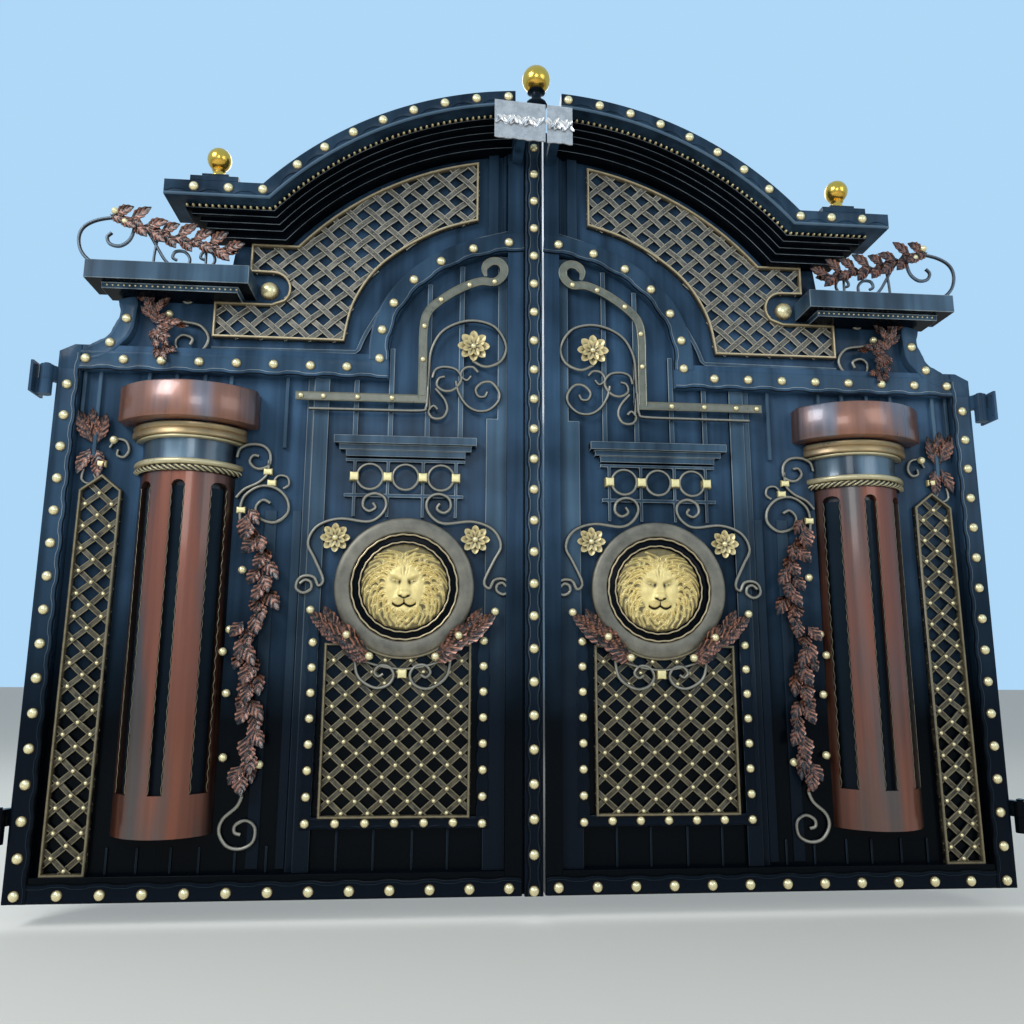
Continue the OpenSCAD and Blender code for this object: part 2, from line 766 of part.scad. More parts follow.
left() scrollwork();  // left_scrollwork
left() shelf_scroll();  // left_shelf_scroll
left() leaves();  // left_leaves
left() gold_band();  // left_gold_band
left() rosettes();  // left_rosettes
right() plaque_left();  // left_plaque
right() centre_strip();
right() ball_finial();
right() hinge_stile();  // right_hinge_stile
right() meeting_stile();  // right_meeting_stile
right() bottom_rail();  // right_bottom_rail
right() top_rail();  // right_top_rail
right() arch_rail();  // right_arch_rail
right() lower_sheet();  // right_lower_sheet
right() upper_sheet();  // right_upper_sheet
right() mouldings();  // right_mouldings
right() border_bands();  // right_border_bands
right() studs();  // right_studs
right() upper_lattice();  // right_upper_lattice
right() side_lattice();  // right_side_lattice
right() lower_lattice();  // right_lower_lattice
right() column_shaft();  // right_column_shaft
right() capital();  // right_capital
right() medallion();  // right_medallion
right() lion_mask();  // right_lion_mask
right() cornice();  // right_cornice
right() shelf();  // right_shelf
right() scrollwork();  // right_scrollwork
right() shelf_scroll();  // right_shelf_scroll
right() leaves();  // right_leaves
right() gold_band();  // right_gold_band
right() rosettes();  // right_rosettes
right() plaque_right();  // right_plaque
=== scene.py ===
"""Looks of the double-leaf wrought iron driveway gate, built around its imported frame.

Every shape is drawn once for the right leaf, in millimetres: u outwards from the meeting line,
y away from the street, z up from the bottom edge. The left leaf is the same drawing with u
turned round. Surfaces are functions of two parameters on a grid, or profiles carried along a
path, worked out as whole arrays.
"""

import logging
from collections.abc import Callable
from dataclasses import dataclass, field
from enum import Enum

import bmesh
import bpy
import numpy as np
from mathutils import Matrix, Vector

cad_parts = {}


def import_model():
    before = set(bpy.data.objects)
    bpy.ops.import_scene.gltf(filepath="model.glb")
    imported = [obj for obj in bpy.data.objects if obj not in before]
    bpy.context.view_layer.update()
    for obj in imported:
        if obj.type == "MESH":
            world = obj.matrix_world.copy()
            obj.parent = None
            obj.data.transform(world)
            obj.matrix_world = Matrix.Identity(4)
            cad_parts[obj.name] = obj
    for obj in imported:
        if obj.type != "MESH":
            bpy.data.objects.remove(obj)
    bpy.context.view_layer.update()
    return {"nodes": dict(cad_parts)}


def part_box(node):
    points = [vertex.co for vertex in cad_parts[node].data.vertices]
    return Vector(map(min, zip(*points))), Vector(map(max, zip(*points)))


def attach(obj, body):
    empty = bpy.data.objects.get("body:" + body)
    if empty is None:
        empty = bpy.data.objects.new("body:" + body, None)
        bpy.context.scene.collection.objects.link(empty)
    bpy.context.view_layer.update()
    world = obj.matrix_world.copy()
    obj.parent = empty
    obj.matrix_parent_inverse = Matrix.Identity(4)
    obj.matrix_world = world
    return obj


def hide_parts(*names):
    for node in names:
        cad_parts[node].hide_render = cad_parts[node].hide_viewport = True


LOG = logging.getLogger("gate")
Array = np.ndarray
Socket = bpy.types.NodeSocket
MM = 0.001
SHEET = 2.0
SAME_POINT = 4e-6
MIDDLE_NODES = ("centre_strip", "ball_finial")


class Side(Enum):
    """The two leaves: the sign that u takes in the frame."""

    LEFT = -1
    RIGHT = 1

    @property
    def prefix(self) -> str:
        """First word of the names of this leaf's pieces."""
        return self.name.lower() + "_"

    @property
    def body(self) -> str:
        """The body that this leaf's pieces ride on."""
        return self.prefix + "leaf"


# Meshes


@dataclass
class Shell:
    """A closed surface of the drawing.

    points: one row (u, y, z) per point, in millimetres.
    faces: lists of point numbers.
    tone: how pale each point is painted, 0 to 1: rubbed ridges, dark grooves, painted highlight and shade.
    finish: which of its piece's finishes it wears.
    """

    points: Array
    faces: list
    tone: Array
    finish: int = 0


@dataclass(frozen=True)
class Drawing:
    """Where the drawing's origin lies in the frame, in metres."""

    mid_x: float
    front_y: float
    base_z: float

    def placed(self, points: Array, side: Side) -> Array:
        """Turns drawing points (u, y, z) in millimetres into a leaf's frame points in metres."""
        return points * MM * (side.value, 1, 1) + (self.mid_x, self.front_y, self.base_z)


def grid_faces(rows: int, columns: int, wrap_rows: bool = False, wrap_columns: bool = False) -> list:
    """Lists the quads of a grid whose point (i, j) has the number i * columns + j.

    Args:
        rows: points along the first parameter.
        columns: points along the second.
        wrap_rows: also join the last row to the first.
        wrap_columns: also join the last column to the first.

    Returns:
        Lists of four point numbers.
    """
    i = np.arange(rows if wrap_rows else rows - 1)[:, None]
    j = np.arange(columns if wrap_columns else columns - 1)[None, :]
    after_i, after_j = (i + 1) % rows * columns, (j + 1) % columns
    corners = (i * columns + j, after_i + j, after_i + after_j, i * columns + after_j)
    return np.stack(np.broadcast_arrays(*corners), -1).reshape(-1, 4).tolist()


def loops_shell(points: Array, tone: Array | float = 1.0, finish: int = 0, ring: bool = False) -> Shell:
    """Closes a stack of loops into one shell.

    Args:
        points: loops by points by 3; each row is a closed loop.
        tone: one value, or one for each point of the stack.
        finish: the finish's place in its piece's list.
        ring: the stack itself closes on itself, so it has no ends to cap.

    Returns:
        The shell.
    """
    rows, columns, _ = points.shape
    faces = grid_faces(rows, columns, wrap_rows=ring, wrap_columns=True)
    if not ring:
        faces.append(list(range(columns)))
        faces.append(list(range((rows - 1) * columns, rows * columns)))
    tones = np.broadcast_to(tone, (rows, columns)).reshape(-1)
    return Shell(points.reshape(-1, 3), faces, tones.astype(float), finish)


def joined(*parts: Array | float) -> Array:
    """Rows such as (u, z) or (u, y, z), from numbers or arrays that fit together."""
    return np.stack(np.broadcast_arrays(*parts), -1).astype(float)


def lifted(path: Array, y: float | Array) -> Array:
    """Stands a drawing path (u, z) at the depth y: rows (u, y, z)."""
    return joined(path[:, 0], y, path[:, 1])


def wheel(count: int) -> Array:
    """Angles of points spread evenly round a circle."""
    return np.linspace(0, 2 * np.pi, count, endpoint=False)


def units(rows: Array) -> Array:
    """The rows with their length made 1."""
    return rows / np.linalg.norm(rows, axis=1, keepdims=True)


def distances(path: Array) -> Array:
    """How far along its path each point lies."""
    return np.concatenate([[0], np.cumsum(np.linalg.norm(np.diff(path, axis=0), axis=1))])


def smooth(points: list, steps: int) -> Array:
    """Catmull-Rom curve: each stretch is the cubic through its ends whose slope at a point is
    half the step between that point's neighbours.

    Args:
        points: the points to pass through.
        steps: points on each stretch.

    Returns:
        One row per point of the curve.
    """
    p = np.asarray(points, float)
    padded = np.concatenate([p[:1], p, p[-1:]])
    a, b, c, d = (padded[k:len(padded) - 3 + k, None, :] for k in range(4))
    t = (np.arange(steps) / steps)[None, :, None]
    curve = 0.5 * (2 * b + (c - a) * t + (2 * a - 5 * b + 4 * c - d) * t ** 2
                   + (3 * b - a - 3 * c + d) * t ** 3)
    return np.concatenate([curve.reshape(-1, p.shape[1]), p[-1:]])


def arc(centre: tuple, radii: tuple, start: float, end: float, count: int) -> Array:
    """Points of an ellipse's arc: centre + (radius cos angle, radius sin angle), in degrees."""
    a = np.radians(np.linspace(start, end, count))
    return joined(centre[0] + radii[0] * np.cos(a), centre[1] + radii[1] * np.sin(a))


def resampled(path: Array, step: float) -> Array:
    """Spreads a path's points evenly by arc length, about step apart."""
    lengths = distances(path)
    at = np.linspace(0, lengths[-1], max(int(round(lengths[-1] / step)), 2) + 1)
    return joined(*(np.interp(at, lengths, column) for column in path.T))


def swept(path: Array, section: Array, up: tuple = (0, -1, 0), size: Array | float = 1.0,
          tone: Array | float = 1.0, finish: int = 0, ring: bool = False) -> Shell:
    """Carries a section along a path: point + a * sideways + b * upwards for each (a, b).

    Sideways is the path's direction crossed with up, and upwards is square to both.

    Args:
        path: rows (u, y, z).
        section: closed loop of (a, b), the same for all points or one loop for each point.
        up: the direction that b goes in.
        size: the section's size along the path, one value or one for each point.
        tone: one value, or one for each point of the section.
        finish: the finish's place in its piece's list.
        ring: the path is closed.

    Returns:
        The shell.
    """
    ahead = units(np.roll(path, -1, 0) - np.roll(path, 1, 0) if ring else np.gradient(path, axis=0))
    sideways = units(np.cross(ahead, np.asarray(up, float)))
    upwards = np.cross(sideways, ahead)
    loops = np.broadcast_to(section, (len(path),) + section.shape[-2:])
    loops = np.broadcast_to(size, len(path))[:, None, None] * loops
    points = path[:, None] + loops[..., :1] * sideways[:, None] + loops[..., 1:] * upwards[:, None]
    return loops_shell(points, tone, finish, ring)


def mitred(outline: Array, inset: float) -> Array:
    """Moves each side of an anticlockwise outline inwards and joins the sides at mitres."""
    side = units(outline - np.roll(outline, 1, 0))
    before = joined(-side[:, 1], side[:, 0])
    middle = before + np.roll(before, -1, 0)
    return outline + inset * 2 * middle / np.maximum((middle ** 2).sum(1, keepdims=True), 0.4)


def anticlockwise(outline: Array) -> Array:
    """Turns an outline round if it runs clockwise."""
    u, z = outline[:, 0], outline[:, 1]
    area = (u * np.roll(z, -1) - np.roll(u, -1) * z).sum()
    return outline if area > 0 else outline[::-1]


def per_step(tone: Array | float) -> Array:
    """Tones of a profile's steps as a column, or the one tone of them all as it is."""
    tones = np.asarray(tone, float)
    return tones[:, None] if tones.ndim else tones


def relief(outline: Array, profile: list, tone: Array | float = 1.0, finish: int = 0,
           ring: bool = False) -> Shell:
    """Raises an outline step by step.

    Args:
        outline: closed outline (u, z).
        profile: (inset, y) of each step, from the back to the front.
        tone: one value, or one for each step.
        finish: the finish's place in its piece's list.
        ring: the profile is a closed loop, which makes a frame round an opening.

    Returns:
        The shell.
    """
    flat = anticlockwise(outline)
    points = np.stack([lifted(mitred(flat, inset), y) for inset, y in profile])
    return loops_shell(points, per_step(tone), finish, ring)


def slab(u: tuple, z: tuple, back: float, front: float, ease: float = 2.0, tone: Array | float = 1.0,
         finish: int = 0) -> Shell:
    """A block with eased front edges, between two values of u, of z and of y.

    Where z holds four values, they are the heights of its corners, from the lower inner one
    on round the block.
    """
    heights = z if len(z) == 4 else (z[0], z[0], z[1], z[1])
    outline = joined([u[0], u[1], u[1], u[0]], heights)
    steps = [(0, back), (0, front + ease), (ease, front)] if ease else [(0, back), (0, front)]
    return relief(outline, steps, tone, finish)


def turned(centre: tuple, profile: list, y: float, count: int = 24, tone: Array | float = 1.0,
           finish: int = 0, ring: bool = False, wave: tuple = (0, 0)) -> Shell:
    """Turns a profile about an axis along y: (radius cos a, y - height, radius sin a).

    Args:
        centre: (u, z) of the axis.
        profile: (radius, height towards the street) of each step.
        y: depth of height 0.
        count: points round the axis.
        tone: one value, or one for each step.
        finish: the finish's place in its piece's list.
        ring: the profile is a closed loop.
        wave: how far and how often the radius swells round the axis.

    Returns:
        The shell.
    """
    a = wheel(count)
    steps = np.asarray(profile, float)
    radius = steps[:, :1] + wave[0] * np.sin(wave[1] * a)[None, :] * (steps[:, :1] > 1)
    points = joined(centre[0] + radius * np.cos(a), y - steps[:, 1:], centre[1] + radius * np.sin(a))
    return loops_shell(points, per_step(tone), finish, ring)


def upright(u: float, y: float, profile: Array, count: int, finish: int = 0) -> Shell:
    """Turns rows (radius, z) about the upright axis at u and y."""
    a = wheel(count)
    return loops_shell(joined(u + profile[:, :1] * np.cos(a), y + profile[:, :1] * np.sin(a), profile[:, 1:]),
                       1.0, finish)


def standing_ball(radius: float, middle: float, count: int) -> Array:
    """Rows (radius, z) of a ball on a neck, from 60 degrees below its middle to its top."""
    lat = np.radians(np.linspace(-60, 88, count))
    return joined(radius * np.cos(lat), middle + radius * np.sin(lat))


def domes(places: Array, radius: float, height: float, finish: int = 0, round_points: int = 14,
          flatness: float = 0.55) -> Shell:
    """Copies one domed nail head to many places, in one array.

    The head's height falls from the middle as height * (1 - r^2) ^ flatness.

    Args:
        places: rows (u, y, z) of the middles of the heads' feet.
        radius: of the head.
        height: towards the street.
        finish: the finish's place in its piece's list.
        round_points: points round the head.
        flatness: below 1 the head is fuller.

    Returns:
        One shell with all heads.
    """
    r = np.array([1.0, 1.0, 0.86, 0.62, 0.3])
    h = np.concatenate([[-0.35, 0.12], (1 - r[2:] ** 2) ** flatness])
    a = wheel(round_points)
    rings = joined(np.outer(r, np.cos(a)) * radius, -h[:, None] * height, np.outer(r, np.sin(a)) * radius)
    faces = grid_faces(len(r), round_points, wrap_columns=True)
    faces.append(list(range(round_points)))
    top = len(r) * round_points
    last = top - round_points
    faces += [[last + k, last + (k + 1) % round_points, top] for k in range(round_points)]
    tones = np.append(np.repeat([0.1, 0.25, 0.75, 0.95, 1.0], round_points), 1.0)
    head = Shell(np.concatenate([rings.reshape(-1, 3), [[0, -height, 0]]]), faces, tones, finish)
    return copied(head, np.asarray(places, float))


def copied(shell: Shell, places: Array) -> Shell:
    """Copies a shell to many places: every point plus every place."""
    count = len(shell.points)
    points = (shell.points[None] + places[:, None, :]).reshape(-1, 3)
    faces = [[k + n * count for k in face] for n in range(len(places)) for face in shell.faces]
    return Shell(points, faces, np.tile(shell.tone, len(places)), shell.finish)


def ball(centre: tuple, radius: float, finish: int = 0) -> Shell:
    """A ball: loops at heights radius * sin(latitude), closed at both poles."""
    lat = np.radians(np.linspace(-89, 89, 11))
    u, y, z = centre
    return turned((u, z), radius * joined(np.cos(lat), np.sin(lat)), y, 20, finish=finish)


def leaf_sheet(place: tuple, angle: float, along: Array, across: Array, y: Array, tone: Array,
               finish: int = 0) -> Shell:
    """Closes a curved leaf of sheet metal.

    Args:
        place: (u, z) of the stalk.
        angle: direction of the midrib, in degrees.
        along, across: places on the leaf, measured along its midrib and square to it.
        y: depth of its back at these places.
        tone: one for each place.
        finish: the finish's place in its piece's list.

    Returns:
        The shell.
    """
    cos, sin = np.cos(np.radians(angle)), np.sin(np.radians(angle))
    front = joined(place[0] + along * cos - across * sin, y - SHEET, place[1] + along * sin + across * cos)
    loops = np.concatenate([front, front[:, ::-1] + (0, SHEET, 0)], 1)
    return loops_shell(loops, np.concatenate([tone, 0 * tone], 1), finish)


def blade(place: tuple, angle: float, length: float, width: float, curl: float, lobes: int = 5,
          y: float = 0.0, finish: int = 0) -> Shell:
    """A chased leaf: a midrib, slanting veins, lobed edges, cupped sides and a curling tip.

    With t from stalk to tip and v from edge to edge, the half width is width / 2 *
    sin(pi t^0.75)^0.8, with lobes, and the height is cup * v^2 + midrib + veins + curl * t^2.

    Args:
        place: (u, z) of the stalk.
        angle: direction of the midrib, in degrees.
        length: from stalk to tip.
        width: across the widest place.
        curl: how far the tip comes forwards.
        lobes: how many lobes each edge has.
        y: depth of the stalk.
        finish: the finish's place in its piece's list.

    Returns:
        The shell.
    """
    t = np.linspace(0.0, 1.0, 19)[:, None]
    v = np.linspace(-1.0, 1.0, 11)[None, :]
    edge = 1 + 0.09 * np.cos(2 * np.pi * lobes * t) * np.abs(v)
    half = width / 2 * (np.sin(np.pi * np.clip(t, 0.02, 0.99) ** 0.75)) ** 0.8 * edge
    veins = 0.5 + 0.5 * np.cos(2 * np.pi * (lobes * t - 1.2 * np.abs(v)))
    rib = np.exp(-(v / 0.13) ** 2)
    shape = np.sin(np.pi * t ** 0.8)
    rise = (0.16 * width * v ** 2 * shape + 0.05 * width * rib * (1 - 0.5 * t)
            + 0.075 * width * veins * (1 - rib) * shape + curl * t ** 2)
    shade = np.clip(1.25 * veins ** 1.8 * shape * np.abs(v) ** 0.3 - 0.3 + 0.5 * rib, 0, 1)
    return leaf_sheet(place, angle, length * t + 0.1 * length * np.abs(v) * (1 - t), half * v, y - rise,
                      shade, finish)


def petal(place: tuple, angle: float, length: float, width: float, y: float) -> Shell:
    """A round-tipped spoon of sheet, cupped along and across, with a fold down its middle.

    Its half width is width / 2 * sqrt(1 - (2 t^0.8 - 1)^2), and its height is
    0.22 * length * t^2 + 0.26 * width * v^2 * sin(pi t) - fold.
    """
    t = np.linspace(0.03, 0.995, 10)[:, None]
    v = np.linspace(-1.0, 1.0, 9)[None, :]
    half = width / 2 * np.sqrt(1 - (2 * t ** 0.8 - 1) ** 2)
    fold = np.exp(-(v / 0.2) ** 2)
    rise = 0.22 * length * t ** 2 + 0.26 * width * v ** 2 * np.sin(np.pi * t) - 1.5 * fold
    shade = np.clip(0.95 * t ** 0.5 + 0.35 * v ** 2 - 0.8 * fold * (1 - t), 0, 1)
    return leaf_sheet(place, angle, length * t + 0 * v, half * v, y - rise, shade)


def cut_spans(origin: Array, step: Array, outline: Array) -> list:
    """Finds the stretches of the line origin + t * step that lie inside a closed outline.

    Returns:
        Pairs (t where it enters, t where it leaves).
    """
    side = np.roll(outline, -1, 0) - outline
    cross = step[0] * side[:, 1] - step[1] * side[:, 0]
    safe = np.where(np.abs(cross) < 1e-9, 1e-9, cross)
    gap = outline - origin
    t = (gap[:, 0] * side[:, 1] - gap[:, 1] * side[:, 0]) / safe
    r = (gap[:, 0] * step[1] - gap[:, 1] * step[0]) / safe
    hits = np.sort(t[(r >= 0) & (r < 1)])
    return [(hits[k], hits[k + 1]) for k in range(0, len(hits) - 1, 2)]


def inside(points: Array, outline: Array) -> Array:
    """Tells which points lie in an outline: a ray to the right crosses it an odd number of times."""
    a = outline
    b = np.roll(outline, -1, 0)
    z = points[:, None, 1]
    spans = (a[None, :, 1] > z) != (b[None, :, 1] > z)
    rise = np.where(np.abs(b[:, 1] - a[:, 1]) < 1e-9, 1e-9, b[:, 1] - a[:, 1])
    at = a[None, :, 0] + (z - a[None, :, 1]) * ((b[:, 0] - a[:, 0]) / rise)[None, :]
    return (spans & (points[:, None, 0] < at)).sum(1) % 2 == 1


# Finishes


@dataclass
class Wiring:
    """Adds nodes to a tree. Most calls return the socket that the next one takes."""

    tree: bpy.types.NodeTree

    def fill(self, node: bpy.types.Node, inputs: dict) -> bpy.types.Node:
        """Fills a node's inputs, by name or number, with values or with links to sockets."""
        for name, value in inputs.items():
            if isinstance(value, Socket):
                self.tree.links.new(value, node.inputs[name])
            else:
                node.inputs[name].default_value = value
        return node

    def node(self, kind: str, inputs: dict | None = None, **settings: str | bool) -> bpy.types.Node:
        """Adds a node, sets its properties and fills its inputs."""
        node = self.tree.nodes.new(kind)
        for name, value in settings.items():
            setattr(node, name, value)
        return self.fill(node, inputs or {})

    def group(self, name: str, inputs: dict) -> dict:
        """Puts in a shared group with its own values, and returns its outputs by name."""
        node = self.tree.nodes.new("ShaderNodeGroup")
        node.node_tree = Groups.get(name)
        return dict(self.fill(node, inputs).outputs.items())

    def place(self) -> Socket:
        """Each point's place in the frame, in metres."""
        return self.node("ShaderNodeTexCoord").outputs["Object"]

    def tone(self) -> Socket:
        """How pale each point is painted: rubbed ridges, dark grooves, painted highlight and shade."""
        return self.node("ShaderNodeAttribute", attribute_name="tone").outputs["Fac"]

    def stretched(self, place: Socket, scale: tuple) -> Socket:
        """A place with each of its axes scaled."""
        return self.node("ShaderNodeMapping", {"Vector": place, "Scale": scale}).outputs[0]

    def noise(self, place: Socket, scale: float | Socket, detail: float, roughness: float = 0.5) -> Socket:
        """Fractal noise from 0 to 1."""
        return self.node("ShaderNodeTexNoise", {"Vector": place, "Scale": scale, "Detail": detail,
                                                "Roughness": roughness}).outputs["Fac"]

    def calc(self, operation: str, *values: float | Socket, clamp: bool = False) -> Socket:
        """One sum, difference or product of its values, clamped to 0 and 1 if asked."""
        return self.node("ShaderNodeMath", dict(enumerate(values)), operation=operation,
                         use_clamp=clamp).outputs[0]

    def ranged(self, value: Socket, start: tuple, end: tuple = (0.0, 1.0)) -> Socket:
        """Carries a value from the range start over to the range end, and holds it there."""
        return self.node("ShaderNodeMapRange", {"Value": value, "From Min": start[0], "From Max": start[1],
                                                "To Min": end[0], "To Max": end[1]}).outputs[0]

    def mixed(self, share: Socket, low: tuple | Socket, high: tuple | Socket) -> Socket:
        """A colour that runs from low to high with the share."""
        return self.node("ShaderNodeMix", {0: share, 6: low, 7: high}, data_type="RGBA").outputs[2]

    def bump(self, height: Socket, distance: float, strength: float) -> Socket:
        """A normal that follows a height."""
        return self.node("ShaderNodeBump", {"Height": height, "Distance": distance,
                                            "Strength": strength}).outputs["Normal"]


def new_group(name: str, inputs: dict) -> tuple:
    """Starts a shader node group with the outputs Color, Roughness and Height.

    Args:
        name: of the group.
        inputs: default values by name; a tuple makes a colour.

    Returns:
        The group's wiring and the sockets of its inputs.
    """
    tree = bpy.data.node_groups.new(name, "ShaderNodeTree")
    kinds = {True: "NodeSocketColor", False: "NodeSocketFloat"}
    for label, value in inputs.items():
        kind = kinds[isinstance(value, tuple)]
        tree.interface.new_socket(label, in_out="INPUT", socket_type=kind).default_value = value
    for label in ("Color", "Roughness", "Height"):
        tree.interface.new_socket(label, in_out="OUTPUT", socket_type=kinds[label == "Color"])
    return Wiring(tree), tree.nodes.new("NodeGroupInput").outputs


def patina_group() -> bpy.types.NodeTree:
    """Rubbed metal: a dark ground with a pale top coat where the tone is high.

    The mask is tone + amount * (noise - 0.5), and the colour runs from Low to High with it.
    """
    wires, given = new_group("patina", {"Tone": 1.0, "High": (0.8, 0.7, 0.4, 1), "Low": (0.05, 0.05, 0.05, 1),
                                        "Scale": 60.0, "Amount": 0.5, "Smooth": 0.25, "Rough": 0.5})
    place = wires.place()
    coarse = wires.noise(place, given["Scale"], 5.0, 0.6)
    fine = wires.noise(place, 420.0, 2.0)
    shifted = wires.calc("SUBTRACT", coarse, 0.5)
    mask = wires.calc("MULTIPLY_ADD", shifted, given["Amount"], given["Tone"], clamp=True)
    colour = wires.mixed(mask, given["Low"], given["High"])
    rough = wires.ranged(coarse, (0.3, 0.7), (given["Smooth"], given["Rough"]))
    height = wires.calc("MULTIPLY_ADD", coarse, 0.7, fine)
    wires.node("NodeGroupOutput", {"Color": colour, "Roughness": rough, "Height": height})
    return wires.tree


def lacquer_and_sheen_group() -> bpy.types.NodeTree:
    """Sprayed paint on sheet: slow waves, painted reflection streaks, fine grain and a painted sky band.

    The streaks stand upright and the grain is the spray's. The painted sky band, where the paint runs
    from Low to High, rises from Foot to Waist and falls off again from Chest to Crown, all heights in metres.
    """
    wires, given = new_group("lacquer", {"High": (0.03, 0.05, 0.08, 1), "Low": (0.01, 0.02, 0.03, 1),
                                         "Foot": 0.35, "Waist": 1.5, "Chest": 1.75, "Crown": 2.9})
    place = wires.place()
    z = wires.node("ShaderNodeSeparateXYZ", {0: place}).outputs["Z"]
    slow = wires.noise(place, 3.2, 2.0)
    grain = wires.noise(place, 900.0, 1.0)
    streak = wires.noise(wires.stretched(place, (16.0, 16.0, 0.7)), 1.0, 3.0)
    # painted reflection: upright streaks of paler paint
    reflection_streaks = wires.ranged(streak, (0.3, 0.7), (0.45, 1.25))
    up = wires.ranged(z, (given["Foot"], given["Waist"]))
    down = wires.ranged(z, (given["Chest"], given["Crown"]), (1.0, 0.3))
    # painted sky reflection: a band of paler paint, strongest between Waist and Chest
    sky_reflection = wires.calc("MULTIPLY", up, down)
    patches = wires.ranged(slow, (0.32, 0.68), (0.5, 1.1))
    streaks_and_patches = wires.calc("MULTIPLY", reflection_streaks, patches)
    colour = wires.mixed(wires.calc("MULTIPLY", sky_reflection, streaks_and_patches, clamp=True), given["Low"], given["High"])
    rough = wires.ranged(slow, (0.3, 0.7), (0.2, 0.34))
    height = wires.calc("MULTIPLY_ADD", grain, 0.012, slow)
    wires.node("NodeGroupOutput", {"Color": colour, "Roughness": rough, "Height": height})
    return wires.tree


class Groups:
    """Builds each shared node group once and hands it out by name."""

    makers = {"patina": patina_group, "lacquer": lacquer_and_sheen_group}
    made: dict = {}

    @classmethod
    def get(cls, name: str) -> bpy.types.NodeTree:
        """The group of that name, built at its first use."""
        if name not in cls.made:
            cls.made[name] = cls.makers[name]()
        return cls.made[name]


def linear(colour: tuple) -> tuple:
    """Screen colour from 0 to 255 as linear red, green, blue and full alpha."""
    c = np.array(colour) / 255
    light = np.where(c <= 0.04045, c / 12.92, ((c + 0.055) / 1.055) ** 2.4)
    return tuple(float(v) for v in light) + (1.0,)


@dataclass(frozen=True)
class Finish:
    """Base of the finishes: a name, a slot name and a method that builds the material.

    Colours are screen colours, from 0 to 255.
    """

    name: str
    slot: str

    def material(self) -> bpy.types.Material:
        """The finish's material, built at its first use."""
        found = bpy.data.materials.get(self.name)
        if found is None:
            found = bpy.data.materials.new(self.name)
            found.use_nodes = True
            self.wire(Wiring(found.node_tree), found.node_tree.nodes["Principled BSDF"])
        return found

    def wire(self, wires: Wiring, shader: bpy.types.Node) -> None:
        """Wires the nodes of the material."""
        raise NotImplementedError


@dataclass(frozen=True)
class Paint(Finish):
    """Gloss navy-black paint on sheet and tube; high is painted sky reflection, low the paint itself."""

    high: tuple = (62, 92, 122)
    low: tuple = (3, 7, 12)

    def wire(self, wires: Wiring, shader: bpy.types.Node) -> None:
        """Colour with painted sky reflection, roughness and waves from the lacquer group; clear coat."""
        look = wires.group("lacquer", {"High": linear(self.high), "Low": linear(self.low)})
        wires.fill(shader, {"Base Color": look["Color"], "Roughness": look["Roughness"],
                            "Normal": wires.bump(look["Height"], 0.012, 0.35),
                            "Specular IOR Level": 0.05, "Coat Weight": 0.03, "Coat Roughness": 0.12})


@dataclass(frozen=True)
class Rubbed(Finish):
    """Metal or metal paint that is pale on its ridges and dark in its grooves."""

    high: tuple
    low: tuple
    metallic: float
    scale: float
    amount: float
    roughness: tuple
    depth: float = 0.0006

    def wire(self, wires: Wiring, shader: bpy.types.Node) -> None:
        """Colour and roughness from the patina group, driven by each point's tone."""
        look = wires.group("patina", {"Tone": wires.tone(), "High": linear(self.high),
                                      "Low": linear(self.low), "Scale": self.scale, "Amount": self.amount,
                                      "Smooth": self.roughness[0], "Rough": self.roughness[1]})
        wires.fill(shader, {"Base Color": look["Color"], "Roughness": look["Roughness"],
                            "Normal": wires.bump(look["Height"], self.depth, 0.5), "Metallic": self.metallic})


@dataclass(frozen=True)
class Streaked(Finish):
    """Copper-brown lacquer wiped on in long upright strokes, painted highlight at the column's middle."""

    bright: tuple = (150, 84, 58)
    dark: tuple = (12, 8, 7)
    haze: tuple = (98, 86, 82)

    def wire(self, wires: Wiring, shader: bpy.types.Node) -> None:
        """Noise drawn out along z makes the strokes, the tone darkens the sides as painted shade, and
        slow patches of noise turn the copper to a violet grey."""
        place = wires.place()
        strokes = wires.noise(wires.stretched(place, (26.0, 26.0, 0.7)), 1.0, 4.0, 0.62)
        tone = wires.tone()
        mask = wires.calc("MULTIPLY_ADD", wires.calc("SUBTRACT", strokes, 0.5), 0.7, tone, clamp=True)
        drift = wires.noise(wires.stretched(place, (7.0, 7.0, 1.1)), 1.0, 2.0)
        top = wires.mixed(wires.ranged(drift, (0.46, 0.64)), linear(self.bright), linear(self.haze))
        wires.fill(shader, {"Base Color": wires.mixed(mask, linear(self.dark), top),
                            "Roughness": wires.ranged(strokes, (0.3, 0.7), (0.26, 0.42)),
                            "Normal": wires.bump(strokes, 0.001, 0.4),
                            "Metallic": 0.45, "Coat Weight": 0.4, "Coat Roughness": 0.1})


PAINT = Paint("navy_gloss", "paint")
BAND_PAINT = Paint("navy_band", "paint", (62, 90, 116), (9, 17, 27))
# painted shade: the navy paint darkened for faces and lines where shade falls
SHADE_PAINT = Paint("navy_shade", "paint", (9, 15, 23), (1, 4, 7))
# painted light: the navy paint made lighter for lit bars, ribs and moulding fronts
LIT_PAINT = Paint("navy_lit", "paint", (78, 106, 130), (14, 22, 32))
# painted highlight: a pale navy for the cornice's lit lip
EDGE_PAINT = Paint("navy_edge", "paint", (96, 120, 140), (70, 92, 112))
